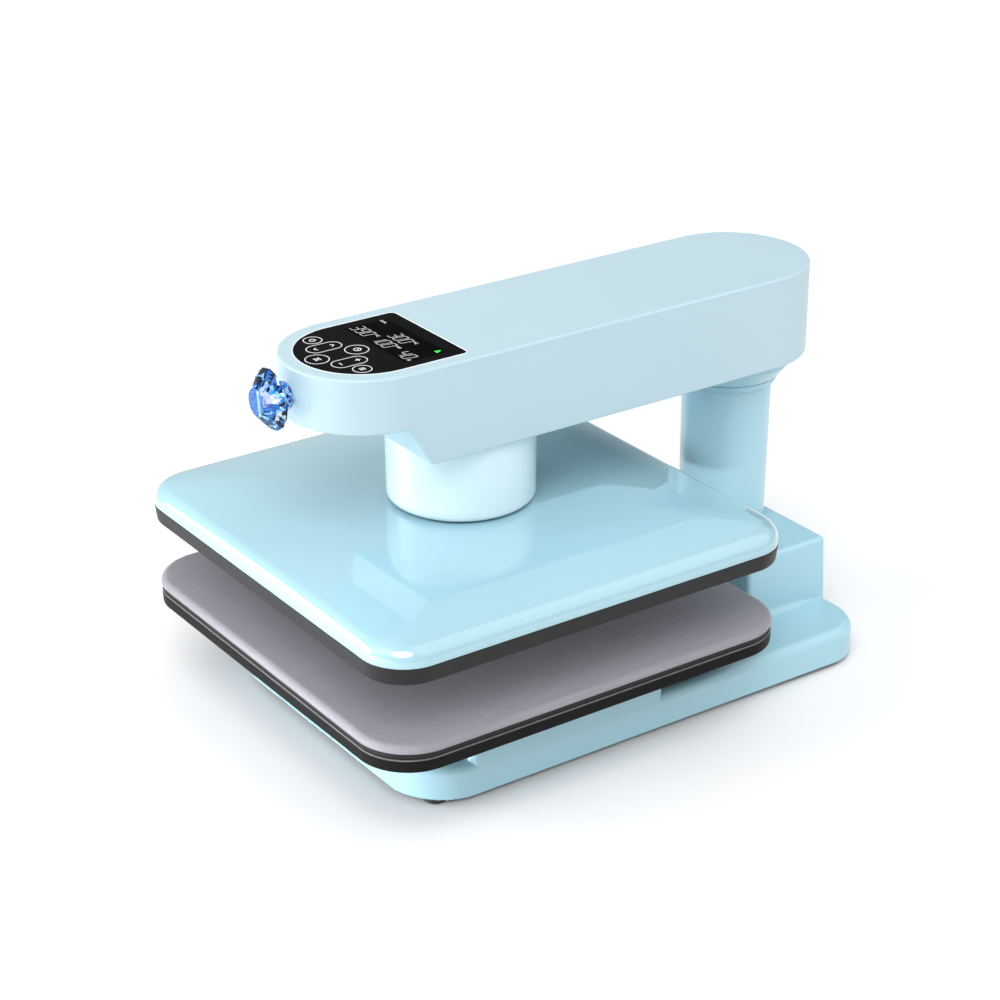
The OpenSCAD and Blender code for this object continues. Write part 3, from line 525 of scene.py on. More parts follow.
def net(field, low, high, step):
    """Surface net of a field's zero set, pulled onto it, with its normals."""
    axes = [np.arange(a, b + step, step) for a, b in zip(low, high)]
    val = field(*np.meshgrid(*axes, indexing="ij"))
    inside = val < 0
    shape = np.array(val.shape) - 1
    total = np.zeros(shape, np.int8)
    offs = [(i, j, k) for i in (0, 1) for j in (0, 1) for k in (0, 1)]

    def part(a, o):
        return a[o[0] : o[0] + shape[0], o[1] : o[1] + shape[1], o[2] : o[2] + shape[2]]

    for o in offs:
        total += part(inside, o)
    cells = np.argwhere((total > 0) & (total < 8))
    ident = np.full(shape, -1, np.int64)
    ident[tuple(cells.T)] = np.arange(len(cells))
    v8 = {o: val[tuple((cells + o).T)] for o in offs}
    acc, cnt = np.zeros((len(cells), 3)), np.zeros(len(cells))
    for a in offs:
        for ax in range(3):
            if a[ax]:
                continue
            o = list(a)
            o[ax] = 1
            va, vb = v8[a], v8[tuple(o)]
            hit = (va < 0) != (vb < 0)
            t = np.where(hit, va / np.where(hit, va - vb, 1.0), 0.0)
            pos = np.tile(np.array(a, float), (len(cells), 1))
            pos[:, ax] = t
            acc += pos * hit[:, None]
            cnt += hit
    pts = np.array(low) + (cells + acc / cnt[:, None]) * step

    def slope(q, e=0.05):
        out = np.zeros_like(q)
        for ax in range(3):
            h = np.zeros(3)
            h[ax] = e
            out[:, ax] = (field(*(q + h).T) - field(*(q - h).T)) / (2 * e)
        return out

    for _ in range(5):
        gr = slope(pts)
        move = field(*pts.T) / np.maximum((gr * gr).sum(1), 0.2)
        pts -= gr * np.clip(move, -0.6, 0.6)[:, None]
    quads = []
    for ax in range(3):
        u, w = (ax + 1) % 3, (ax + 2) % 3
        lo = [slice(None)] * 3
        hi = [slice(None)] * 3
        lo[ax], hi[ax] = slice(0, -1), slice(1, None)
        change = inside[tuple(lo)] != inside[tuple(hi)]
        at = np.argwhere(change)
        at = at[(at[:, u] > 0) & (at[:, w] > 0) & (at[:, u] < shape[u]) & (at[:, w] < shape[w])]
        four = []
        for du, dw in ((-1, -1), (0, -1), (0, 0), (-1, 0)):
            c = at.copy()
            c[:, u] += du
            c[:, w] += dw
            four.append(ident[tuple(c.T)])
        q = np.stack(four, 1)
        out = inside[tuple(at.T)]
        q[~out] = q[~out][:, ::-1]
        quads.append(q)
    return pts, np.concatenate(quads), slope


pts, quads, slope = net(base_field, (-156.0, -217.0, 0.0), (156.0, 251.0, 94.0), 1.9)
me = bpy.data.meshes.new("base_moulding")
me.from_pydata((pts * MM).tolist(), [], quads.tolist())
bm = bmesh.new()
bm.from_mesh(me)
bmesh.ops.dissolve_limit(bm, angle_limit=math.radians(0.6), verts=bm.verts, edges=bm.edges)
bmesh.ops.triangulate(bm, faces=[q for q in bm.faces if len(q.verts) > 4])
bm.to_mesh(me)
bm.free()
for poly in me.polygons:
    poly.use_smooth = True
co = np.zeros(len(me.vertices) * 3)
me.vertices.foreach_get("co", co)
grad = slope(co.reshape(-1, 3) / MM)
grad /= np.maximum(np.linalg.norm(grad, axis=1, keepdims=True), 1e-9)
me.normals_split_custom_set_from_vertices(grad.tolist())
place("base_moulding", me, base_mat, "base", ["base_shell"], weighted=False)

# ---- arm --------------------------------------------------------------------
kinks = [YN + s for s in (0.0, 0.6, 10.0, 19.6, 20.2, 20.8)]
side = kinks + list(np.linspace(YN + 60, YC - 40, 6))
right = np.array([(ARM_R, y) for y in side if y > YN])
rear, rear_n = corners([(0, YC, ARM_R, 0, 180)], 72)
front, front_n = corners([(0, YN, ARM_R, 180, 360)], 72)
left = np.array([(-ARM_R, y) for y in reversed(side) if y > YN])
arm_pts = np.concatenate([right, rear, left, front])
arm_nrm = np.concatenate([np.tile([1.0, 0.0], (len(right), 1)), rear_n, np.tile([-1.0, 0.0], (len(left), 1)), front_n])
under = np.interp(arm_pts[:, 1], [YN, YN + 20.2], [Z_NOSE, Z_BELLY])

m = Mesh()
rings = []
for dd, zz in arc(1.9, Z_TOP - 1.9, 1.9, 90, 0, 7):
    rings.append(m.ring(arm_pts - arm_nrm * dd, zz))
rings.append(m.ring(arm_pts, Z_NOSE + 8))
for dd, zz in arc(1.3, 1.3, 1.3, 0, -90, 5):
    rings.append(m.ring(arm_pts - arm_nrm * dd, under + zz))
rings.append(m.ring(arm_pts - arm_nrm * 3.0, under))
rings.append(m.ring(arm_pts - arm_nrm * 3.0, Z_CEIL))
m.chain(rings)
m.fill(rings[-1])
rim0 = m.ring(dee(54.6, 63.2, 5.4), Z_TOP)
rim1 = m.ring(dee(54.6, 63.2, 5.4), Z_TOP - 2.0)
m.fill(rings[0], rim0)
m.bridge(rim0, rim1)
m.fill(rim1)
piece("arm_shell", m, body_mat, "arm", ["arm_housing"])

# Shroud, column cover and the flared collar under the arm
m = turned(
    [(61.4, Z_BELLY), (61.0, Z_SHROUD + 12)]
    + [(56.2 + 4.7 * math.cos(a), Z_SHROUD + 4.7 + 4.7 * math.sin(a)) for a in np.radians(np.linspace(0, -90, 11))]
    + [(54.0, Z_SHROUD), (53.4, Z_SHROUD + 0.6), (53.4, Z_SHROUD + 3), (58.0, Z_SHROUD + 3), (58.0, Z_BELLY - 3), (53.6, Z_BELLY - 3), (53.6, Z_BELLY)],
    0,
    YP,
)
piece("shroud_shell", m, shroud_lit_mat, "arm", ["ram_shroud"])

m = turned(
    [(38.9, Z_BELLY - 14.4), (38.5, Z_BELLY - 14), (35.2, Z_BELLY - 14), (34.2, Z_PED + 4), (26.0, Z_PED + 4), (26.0, Z_PED - 5), (29.8, Z_PED - 5), (29.8, Z_PED), (35.6, Z_PED), (35.6, Z_PED + 0.9)]
    + [(36.2 + 1.3 * math.cos(a), Z_PED + 2.2 + 1.3 * math.sin(a)) for a in np.radians(np.linspace(-90, 0, 7))],
    0,
    YC,
)
piece("column_shell", m, column_mat, "base", ["column_cover"])

m = turned(
    [(54.3, Z_BELLY), (54.3, Z_BELLY - 8.8), (54.15, Z_BELLY - 9.4), (53.7, Z_BELLY - 10.3), (53.0, Z_BELLY - 11.3), (49.2, Z_BELLY - 16.2), (45.4, Z_BELLY - 20.9), (44.9, Z_BELLY - 21.4), (44.2, Z_BELLY - 21.6)]
    + [(43.3, Z_BELLY - 21.7), (43.2, Z_BELLY - 22.4), (44.2, Z_BELLY - 22.5), (44.2, Z_BELLY - 23.0), (42.8, Z_BELLY - 26.4), (42.4, Z_BELLY - 27.6), (41.9, Z_BELLY - 28.4), (41.2, Z_BELLY - 28.8)]
    + [(39.8, Z_BELLY - 28.8), (39.5, Z_BELLY - 28.4), (39.5, Z_BELLY)],
    0,
    YC,
)
piece("collar_shell", m, column_mat, "arm", ["swing_collar"])

# ---- platens ----------------------------------------------------------------
CW, CR, CF, C_IN, C_ARC = 387.6, 37.8, 13.6, 91.7, 435.0


def crown(x, y):
    """Height of the cover's top: flat in the middle, falling slowly to the edges."""
    run = [np.maximum(C_IN - (CW / 2 - np.abs(q)), 0.0) for q in (x, y - YP)]
    fall = [C_ARC - np.sqrt(C_ARC**2 - q * q) for q in run]
    return Z_DOME - (fall[0] ** 3 + fall[1] ** 3) ** (1.0 / 3.0)


def long_sides(outline, n, m):
    """Adds points along the straight sides of a rounded square."""
    pts, nrm = outline
    p2, n2 = [], []
    for i in range(len(pts)):
        p2.append(pts[i])
        n2.append(nrm[i])
        if i % (n + 1) == n:
            nxt = pts[(i + 1) % len(pts)]
            for k in range(1, m):
                p2.append(pts[i] + (nxt - pts[i]) * k / m)
                n2.append(nrm[i])
    return np.array(p2), np.array(n2)


pts, nrm = long_sides(rrect(CW, CW, CR, 0, YP, 24), 24, 36)
centre = pts - np.array([0, YP])
centre = centre / np.linalg.norm(centre, axis=1, keepdims=True)
lip = 79.32
edge_in = CF - CF * math.cos(math.radians(lip))
shoulder = pts - nrm * edge_in
inner = np.array([0, YP]) + centre * 48.8
m = Mesh()
rings = [m.ring(inner, Z_DOME - 3.0), m.ring(inner, Z_DOME - 0.5), m.ring(inner + centre * 0.5, Z_DOME)]
for t in np.linspace(0.0, 1.0, 34)[1:-1]:
    q = inner + (shoulder - inner) * (t**0.85)
    rings.append(m.ring(q, crown(q[:, 0], q[:, 1])))
top = crown(shoulder[:, 0], shoulder[:, 1])
zc = Z_DOME - (C_ARC - math.sqrt(C_ARC**2 - (C_IN - edge_in) ** 2)) - CF * math.sin(math.radians(lip))
shift = top - (zc + CF * math.sin(math.radians(lip)))
for a in np.radians(np.linspace(lip, 0.0, 20)):
    rings.append(m.ring(pts - nrm * (CF - CF * math.cos(a)), zc + CF * math.sin(a) + shift * math.sin(a)))
rings.append(m.ring(pts, Z_RIM1 - 0.1))
rings.append(m.ring(pts - nrm * 0.15, Z_RIM1 - 0.35))
rings.append(m.ring(pts - nrm * 0.45, Z_RIM1 - 0.45))
rings.append(m.ring(pts - nrm * 3.0, Z_RIM1 - 0.45))
for a in np.radians(np.linspace(0.0, lip, 9)):
    rings.append(m.ring(pts - nrm * (CF - 10.6 * math.cos(a)), zc + 10.6 * math.sin(a) + shift * math.sin(a)))
m.chain(rings, True)
piece("cover_shell", m, gloss_mat, "press_head", ["platen_cover"], 50, False)

out0 = rrect(388.0, 388.0, 38.0, 0, YP, 24)
m, _ = loft(
    out0,
    [(18.0, Z_RIM1 - 0.5), (0.55, Z_RIM1 - 0.5), (0.25, Z_RIM1 - 0.6), (0.1, Z_RIM1 - 0.9), (0.1, Z_RIM1 - 1.5), (1.0, Z_RIM0 + 5)]
    + [(1.55, Z_RIM0 + 0.9), (1.65, Z_RIM0 + 0.45), (1.9, Z_RIM0 + 0.12), (2.3, Z_RIM0), (3.4, Z_RIM0), (3.4, Z_HEAT1), (18.0, Z_HEAT1)],
)
piece("rim_frame", m, dark_mat, "press_head", ["platen_rim"])

out0 = rrect(387.8, 387.8, 44.0, 0, YP, 24)
m, rings = loft(
    out0,
    [(2.6, Z_TRAY1), (1.3, Z_TRAY1), (0.75, Z_TRAY1 - 0.12), (0.3, Z_TRAY1 - 0.45), (0.05, Z_TRAY1 - 0.95), (0.0, Z_TRAY1 - 1.6), (0.1, Z_TRAY + 4)]
    + [(0.25, Z_TRAY + 0.7), (0.35, Z_TRAY + 0.3), (0.6, Z_TRAY + 0.06), (1.0, Z_TRAY)],
    False,
)
m.fill(rings[0])
m.fill(rings[-1])
tray = piece("tray_frame", m, [tray_shade_mat, lip_highlight_mat], "base", ["lower_tray"])
for poly in tray.data.polygons:
    # the upper edge is rubbed bright
    # painted highlight: the upper edge gets the paler material, standing in for the light line along the lit edge
    poly.material_index = int(Z_TRAY1 - 0.8 < poly.center.z / MM < Z_TRAY1 - 0.05)

out0 = rrect(385.2, 385.2, 43.0, 0, YP, 24)
m, rings = loft(out0, [(0.9, Z_PAD0), (0.3, Z_PAD0 - 0.2), (0.0, Z_PAD0 - 0.8), (0.0, Z_TRAY1 + 0.8), (0.3, Z_TRAY1 + 0.2), (0.9, Z_TRAY1)], False)
m.fill(rings[0])
m.fill(rings[-1])
piece("pad_backing", m, dark_mat, "base", ["pad_plate"])

# Padded sheet: full rounded edge, a slight crown and a soft unevenness
rng = np.random.default_rng(7)
phase = rng.uniform(0, 6.28, (6, 2))
freq = rng.uniform(0.012, 0.045, (6, 2))


def swell(x, y):
    s = sum(np.sin(x * freq[i, 0] + phase[i, 0]) * np.sin(y * freq[i, 1] + phase[i, 1]) for i in range(6))
    return s / 6.0


m = Mesh()
W = 389.6


def pad_ring(inset, z, lift=0.0):
    ww = W - 2 * inset
    rad = max(46.0 - inset, 0.10 * ww)
    q, _ = rrect(ww, ww, rad, 0, YP, 16)
    full = []
    for i in range(len(q)):
        a, b2 = q[i], q[(i + 1) % len(q)]
        full.append(a)
        if i % 17 == 16:
            full += [a + (b2 - a) * s / 16 for s in range(1, 16)]
    full = np.array(full)
    zz = z + (swell(full[:, 0], full[:, 1]) * 0.16 + 0.05) * lift
    return m.ring(full, zz)


rings = [pad_ring(2.6, Z_PAD0), pad_ring(1.3, Z_PAD0 + 0.05), pad_ring(0.6, Z_PAD0 + 0.35), pad_ring(0.15, Z_PAD0 + 0.9)]
for a in np.radians(np.linspace(0, 90, 11)):
    rings.append(pad_ring(5.6 - 5.6 * math.cos(a), Z_PAD1 - 0.25 - 5.3 + 5.3 * math.sin(a), max(0.0, math.sin(a)) ** 3))
for inset in (8, 11, 15, 20, 26, 34, 44, 56, 70, 86, 104, 124, 146, 168, 184):
    rings.append(pad_ring(inset, Z_PAD1 - 0.25 + 0.12 * (1 - math.exp(-inset / 25.0)), 1.0))
m.chain(rings)
m.fill(rings[0])
m.fill(rings[-1])
pad = piece("pad_sheet", m, pad_mat, "base", ["press_pad"], 60, False)

# ---- feet -------------------------------------------------------------------
m = Mesh()
for fx in (-130.8, 130.8):
    for fy in (-189.0, 219.15):
        prof = [(11.0, 4.0), (11.0, 3.2), (10.6, 2.6), (10.8, 2.0), (10.5, 0.8), (9.9, 0.15), (9.2, 0.0), (5.2, 0.0), (4.7, 0.5), (4.7, 1.2)]
        rings = [m.ring(circle(rr, fx, fy, 48)[0], zz) for rr, zz in prof]
        m.chain(rings)
        m.fill(rings[0])
        m.fill(rings[-1])
piece("foot_pads", m, rubber_mat, "base", ["rubber_feet"])

# ---- control panel ----------------------------------------------------------
m = Mesh()
rings = [m.ring(dee(53.6 - i, 62.2 - i, 4.6 - i), zz) for i, zz in ((0.5, Z_TOP + 0.02), (0.15, Z_TOP - 0.1), (0.0, Z_TOP - 0.45), (0.0, Z_TOP - 2.0))]
m.chain(rings)
m.fill(rings[0])
m.fill(rings[-1])
piece("panel_face", m, panel_mat, "arm", ["control_panel"])

m = Mesh()
rings = [m.ring(dee(53.8 + i, 62.4 + i, 4.8 + i), zz) for i, zz in ((-0.2, Z_TOP - 1.9), (-0.2, Z_TOP - 0.1), (-0.05, Z_TOP + 0.10), (0.2, Z_TOP + 0.18), (0.5, Z_TOP + 0.14), (0.72, Z_TOP + 0.0), (0.78, Z_TOP - 0.3), (0.78, Z_TOP - 1.9))]
m.chain(rings, True)
piece("panel_bead", m, bead_highlight_mat, "arm", ["panel_trim"])

m = Mesh()
q, _ = rrect(87.4, 38.6, 0.8, 0, YN + 29.8, 6)
m.prism(q, Z_TOP - 0.3, Z_TOP + 0.10)
piece("display_window", m, window_mat, "arm", ())

SEGS = {"0": "abcdef", "1": "bc", "2": "abged", "3": "abgcd", "4": "fgbc", "5": "afgcd", "6": "afgedc", "7": "abc", "8": "abcdefg", "9": "abcdfg"}


def readout(m, text, x, y, wd, ht, t, pitch, slant=0.17):
    """Seven-segment numbers, with their lower left corner at (x, y)."""
    e, gap = t / 2, 0.12
    hh = ht / 2
    for i, ch in enumerate(text):
        bars = {"a": ((e, ht - e), (wd - e, ht - e)), "g": ((e, hh), (wd - e, hh)), "d": ((e, e), (wd - e, e)),
                "f": ((e, hh), (e, ht - e)), "b": ((wd - e, hh), (wd - e, ht - e)), "e": ((e, e), (e, hh)), "c": ((wd - e, e), (wd - e, hh))}
        for s in SEGS[ch]:
            (ax, ay), (bx, by) = bars[s]
            a, b2 = np.array([ax, ay]), np.array([bx, by])
            u = (b2 - a) / np.linalg.norm(b2 - a)
            nn = np.array([-u[1], u[0]])
            a, b2 = a + u * gap, b2 - u * gap
            poly = [a, a + u * e - nn * e, b2 - u * e - nn * e, b2, b2 - u * e + nn * e, a + u * e + nn * e]
            poly = [(x + i * pitch + q0[0] + slant * q0[1], y + q0[1]) for q0 in poly]
            m.prism(poly, Z_TOP + 0.05, Z_TOP + 0.2)


def bar(m, x0, y0, x1, y1, t, z0=Z_TOP + 0.05, z1=Z_TOP + 0.2):
    a, b2 = np.array([x0, y0], float), np.array([x1, y1], float)
    u = (b2 - a) / np.linalg.norm(b2 - a)
    nn = np.array([-u[1], u[0]]) * t / 2
    m.prism([a - nn, b2 - nn, b2 + nn, a + nn], z0, z1)


def bow(m, cx, cy, rad, t, a0, a1, n=20, z0=Z_TOP + 0.05, z1=Z_TOP + 0.2):
    """Part of a ring, or all of it."""
    whole = abs(a1 - a0) >= 360
    ang = np.radians(np.linspace(a0, a1, n + 1))
    if whole:
        ang = ang[:-1]
    d2 = np.stack([np.cos(ang), np.sin(ang)], 1)
    o, i = np.array([cx, cy]) + d2 * (rad + t / 2), np.array([cx, cy]) + d2 * (rad - t / 2)
    if whole:
        m.band(o, i, z0, z1)
        return
    for j in range(n):
        m.prism([i[j], o[j], o[j + 1], i[j + 1]], z0, z1)


m = Mesh()
readout(m, "300", -11.8, YN + 29.2, 5.8, 12.0, 0.62, 7.5)
readout(m, "390", -42.2, YN + 13.6, 5.8, 12.0, 0.62, 7.5)
readout(m, "100", -11.8, YN + 13.6, 5.8, 12.0, 0.62, 7.5)
readout(m, "40", 23.8, YN + 13.6, 6.0, 12.0, 0.62, 7.9)
for ux, uy in ((13.4, 39.4), (-17.0, 23.8)):
    bow(m, ux, YN + uy, 0.75, 0.5, 0, 360, 14)
    bow(m, ux + 2.7, YN + uy - 0.3, 1.25, 0.6, 45, 315, 14)
for ux in (13.4, 16.2):
    bow(m, ux, YN + 23.6, 1.0, 0.6, 0, 360, 14)
bar(m, 40.2, YN + 14.2, 42.4, YN + 17.2, 0.7)
bar(m, 40.2, YN + 17.2, 42.4, YN + 14.2, 0.7)
for i in range(4):
    bar(m, -42.0 + i * 2.1, YN + 42.3, -41.4 + i * 2.1, YN + 45.3 - (i % 2) * 0.9, 0.75)
bar(m, -42.4, YN + 43.9, -34.8, YN + 43.9, 0.6)
piece("display_readouts", m, digit_mat, "arm", (), 20, False)

m = Mesh()
m.prism([(37.0, YN + 41.4), (41.4, YN + 41.4), (40.4, YN + 43.6), (38.6, YN + 47.0), (37.6, YN + 44.2)], Z_TOP + 0.05, Z_TOP + 0.2)
piece("display_mark", m, green_mat, "arm", (), 20, False)

KEYS = [(0.0, -5.3, 9.3, 0.0), (0.0, -40.8, 9.3, 0.0), (-18.5, -23.5, 7.55, 7.3), (18.5, -23.5, 7.55, 7.3), (-36.2, -23.0, 7.3, 0.0), (36.2, -23.0, 7.3, 0.0)]
m = Mesh()
for kx, ky, rad, half in KEYS:
    for t, z1 in ((0.85, Z_TOP + 0.14),):
        def pill(rr):
            return corners([(kx, YN + ky + half, rr, 0, 180), (kx, YN + ky - half, rr, 180, 360)], 32)[0]
        m.band(pill(rad + t / 2), pill(rad - t / 2), Z_TOP - 0.05, z1)
piece("key_rings", m, key_mat, "arm", (), 40, False)

m = Mesh()
bow(m, -36.2, YN - 23.2, 2.3, 0.75, 125, 415, 24)
bar(m, -36.2, YN - 22.6, -36.2, YN - 19.8, 0.75)
for s in (-1, 1):
    cy = YN - 23.5 + s * 7.6
    bar(m, -20.6, cy - s * 1.2, -18.5, cy + s * 1.3, 0.85)
    bar(m, -16.4, cy - s * 1.2, -18.5, cy + s * 1.3, 0.85)
bar(m, 16.3, YN - 15.9, 20.7, YN - 15.9, 0.85)
bar(m, 18.5, YN - 18.1, 18.5, YN - 13.7, 0.85)
bar(m, 16.3, YN - 31.1, 20.7, YN - 31.1, 0.85)
bow(m, 0, YN - 4.7, 2.9, 0.75, 0, 360, 28)
bar(m, 0, YN - 4.7, 0, YN - 2.9, 0.7)
bar(m, 0, YN - 4.7, 1.4, YN - 5.4, 0.7)
for i, wd in enumerate((5.6, 4.2, 5.6)):
    bar(m, -wd / 2, YN - 38.8 - i * 1.9, wd / 2, YN - 38.8 - i * 1.9, 0.85)
for i in range(3):
    bar(m, 33.9, YN - 21.2 - i * 1.7, 38.5, YN - 21.2 - i * 1.7, 0.75)
piece("key_icons", m, icon_mat, "arm", (), 20, False)

# ---- cut-crystal knob -------------------------------------------------------
m = Mesh()


def cut(rad, dist, count, turn):
    """Points of a facet ring; dist runs out from the nose along -Y."""
    a = np.radians(turn + np.arange(count) * 360.0 / count)
    first = len(m.v)
    m.v += [(float(rad * math.cos(t)), float(Y_FRONT - dist), float(Z_KNOB + rad * math.sin(t))) for t in a]
    return list(range(first, first + count))


def lace(a, b):
    """Triangles between two rings of equal count, the second turned half a step."""
    n = len(a)
    for i in range(n):
        j = (i + 1) % n
        m.f.append((a[i], a[j], b[i]))
        m.f.append((b[i], a[j], b[j]))


c = 16
h2 = 180.0 / c
r0 = cut(6.0, -0.6, c, 0)
r1 = cut(10.9, 2.6, c, h2)
r2 = cut(11.8, 5.2, c, 0)
r3 = cut(9.8, 7.6, c, h2)
r4 = cut(7.4, 9.0, c, 0)
r5 = cut(15.6, 12.6, c, h2)
r6 = cut(24.6, 15.7, c, 0)
r7 = cut(24.6, 17.0, c, 0)
r8 = cut(19.3, 22.4, c, h2)
r9 = cut(11.4, 29.0, c, 0)
for a, b2, turn in ((r0, r1, 0), (r1, r2, 1), (r2, r3, 0), (r3, r4, 1), (r4, r5, 0), (r5, r6, 1), (r7, r8, 0), (r8, r9, 1)):
    lace(a, b2[turn:] + b2[:turn])
m.bridge(r6, r7)
m.f.append(tuple(r0))
m.f.append(tuple(r9))
knob = piece("crystal_cut", m, crystal_reflection_mats, "arm", ["crystal_knob"], 1.0, False)
knob.visible_shadow = False
NAVY, MID, CYAN, PALE, CLEAR = range(5)
# painted reflections: each facet gets a tone standing in for the dark and bright surroundings it reflects
REFLECTION_TONES = {  # shares of the five tones, by ring and by angle round the axis
    "outer": [(-180, (6, 2, 1, 0, 1)), (-62, (7, 2, 1, 0, 2)), (-24, (4, 2, 3, 0, 3)), (8, (3, 1, 4, 1, 3)), (40, (5, 3, 3, 0, 1)), (66, (8, 2, 1, 0, 0)), (120, (1, 0, 0, 2, 7))],
    "inner": [(-180, (6, 3, 0, 0, 0)), (-62, (7, 3, 1, 0, 0)), (-34, (3, 7, 1, 0, 0)), (-6, (0, 7, 1, 3, 0)), (14, (0, 1, 1, 9, 0)), (50, (1, 2, 1, 7, 0)), (70, (6, 3, 1, 0, 0)), (120, (1, 0, 0, 3, 6))],
    "bulb": [(-180, (3, 4, 2, 2, 0))],
}
rng = np.random.default_rng(11)
bm = bmesh.new()
bm.from_mesh(knob.data)
for whole in list(bm.faces):
    # painted refraction: the facet is split along straight lines into tones, standing in for the far facets that show
    # through it
    out = Y_FRONT - whole.calc_center_median().y / MM
    parts = [whole]
    if out > 28.5:
        lines = [(Vector((x * MM, 0, 0)), Vector((1.0, 0.0, 0.12))) for x in (6.2, 2.4)]
    else:
        lines = [None] * (3 if out > 17.2 else 2)
    for line in lines:
        big = max(parts, key=lambda q: q.calc_area())
        if line is None:
            w = rng.uniform(0.2, 1.0, len(big.verts))
            w /= w.sum()
            spot = sum((v.co * float(t) for v, t in zip(big.verts, w)), Vector())
            a = rng.uniform(0, 2 * math.pi)
            axis = big.normal.orthogonal().normalized()
            line = (spot, axis * math.cos(a) + big.normal.cross(axis) * math.sin(a))
        else:
            line = (Vector((line[0].x, 0.0, Z_KNOB * MM)), line[1])
        geom = [big] + list(big.edges) + list(big.verts)
        done = bmesh.ops.bisect_plane(bm, geom=geom, dist=1e-7, plane_co=line[0], plane_no=line[1].normalized())
        parts.remove(big)
        parts += [q for q in done["geom"] if isinstance(q, bmesh.types.BMFace)]
for q in bm.faces:
    q.smooth = False
    c = q.calc_center_median() / MM
    out, rad = Y_FRONT - c.y, math.hypot(c.x, c.z - Z_KNOB)
    ang = math.degrees(math.atan2(c.z - Z_KNOB, c.x))
    # painted reflection: the table facet gets a cyan stripe between the two cuts, the rest mid blue
    if out > 28.5:
        q.material_index = CYAN if 2.4 < c.x < 6.2 else MID
        continue
    ring = REFLECTION_TONES["outer" if rad > 17.6 or out < 17.2 else "inner"] if out > 9.2 else REFLECTION_TONES["bulb"]
    share = ([row for row in ring if row[0] <= ang] or ring[-1:])[-1][1]
    q.material_index = int(rng.choice(5, p=np.array(share) / sum(share)))
bmesh.ops.triangulate(bm, faces=[q for q in bm.faces if len(q.verts) > 4])
bm.to_mesh(knob.data)
bm.free()

# ---- switch marks -----------------------------------------------------------
m = Mesh()
tilt = math.radians(9.0)


def on_rocker(u, w, h, half):
    """Point on the upper (1) or lower (-1) half of the rocker: across, along, out."""
    d2 = np.array([1.8, 9.0 * half]) / math.hypot(1.8, 9.0)
    y, z = np.array([3.9, 4.5 * half]) + d2 * w + np.array([d2[1], -d2[0]]) * half * h
    return (38.0 + u, YR - 1.5 + y * math.cos(tilt) - z * math.sin(tilt), 61.0 + y * math.sin(tilt) + z * math.cos(tilt))


def stamp(loop, half):
    rings = []
    for h in (0.12, -0.06):
        rings.append(list(range(len(m.v), len(m.v) + len(loop))))
        m.v += [on_rocker(u, w, h, half) for u, w in loop]
    m.bridge(*rings)
    m.f.append(tuple(rings[0]))
    m.f.append(tuple(reversed(rings[1])))


stamp([(-0.45, -1.9), (0.45, -1.9), (0.45, 1.9), (-0.45, 1.9)], 1)
turn = np.radians(np.linspace(0, 360, 33))
for a, b2 in zip(turn, turn[1:]):
    stamp([(r2 * math.cos(t), r2 * math.sin(t)) for r2, t in ((2.0, a), (2.0, b2), (1.25, b2), (1.25, a))], -1)
piece("switch_marks", m, satin("switch_print", (0.80, 0.80, 0.78), (0.4, 0.5)), "rocker", (), 20, False)

FINISH = {
    "machined_steel": ["column_post", "support_pillars", "post_collar", "arm_frame", "swing_stop_pin", "lead_screw", "motor_pinion", "ram_flange", "guide_keys", "drive_motor", "heating_element", "screw_bearing", "post_retainer", "screw_collar"],
    "zinc_plate": ["base_screws", "tray_screws", "column_bolts", "inlet_screws", "arm_screws", "belly_screws", "collar_screws", "motor_screws", "guide_screws", "shroud_screws", "knob_screw", "head_bolts"],
    "bronze": ["thrust_washer", "swing_bushes", "ram_nut", "inlet_pins"],
    "ground_aluminium": ["heat_platen", "ram_guide"],
    "ram_aluminium": ["ram_tube"],
    "base_steel": ["base_plate"],
    "black_plastic": ["power_inlet", "switch_frame", "power_rocker", "limit_switch", "thermal_cutout"],
    "circuit_board": ["power_board", "display_board", "control_board"],
    "gear_nylon": ["screw_gear"],
    "ceramic": ["platen_standoffs"],
    "felt": ["insulation_sheet"],
    "belly_blue_painted_light": ["arm_belly_cover"],
    "satin_blue": ["base_shell", "column_cover", "arm_housing", "swing_collar", "ram_shroud"],
    "gloss_blue": ["platen_cover"],
    "dark_coat": ["lower_tray", "pad_plate", "platen_rim"],
    "pad_weave": ["press_pad"],
    "rubber_black": ["rubber_feet"],
    "panel_glass": ["control_panel"],
    "panel_edge": ["panel_trim"],
    "crystal_blue": ["crystal_knob"],
}
for name, nodes in FINISH.items():
    for n in nodes:
        ob = NODES[n]
        ob.data.materials.clear()
        ob.data.materials.append(bpy.data.materials[name])

for n in ("power_inlet", "switch_frame", "power_rocker", "heat_platen"):
    ob = NODES[n]
    wm = ob.modifiers.new("weld", "WELD")
    wm.merge_threshold = 2e-6
    bv = ob.modifiers.new("edge", "BEVEL")
    bv.width = 0.00035
    bv.segments = 2
    bv.limit_method = "ANGLE"
    bv.angle_limit = math.radians(40)
    bv.use_clamp_overlap = True
    wn = ob.modifiers.new("normals", "WEIGHTED_NORMAL")
    wn.keep_sharp = True

# ---- floor, light -----------------------------------------------------------
fm = Mat("studio_floor")
fm.colour(fm.ramp(fm.noise(3, 2), (0.3, (0.80, 0.80, 0.805)), (0.7, (0.82, 0.82, 0.825))))
fm.rough(fm.span(fm.noise(20, 2), 0.55, 0.65))
me = bpy.data.meshes.new("floor")
me.from_pydata([(-9, -9, 0), (9, -9, 0), (9, 9, 0), (-9, 9, 0)], [], [(0, 1, 2, 3)])
me.materials.append(fm.m)
floor = bpy.data.objects.new("floor", me)
scene.collection.objects.link(floor)
floor.location = (0, 0, -0.0003)

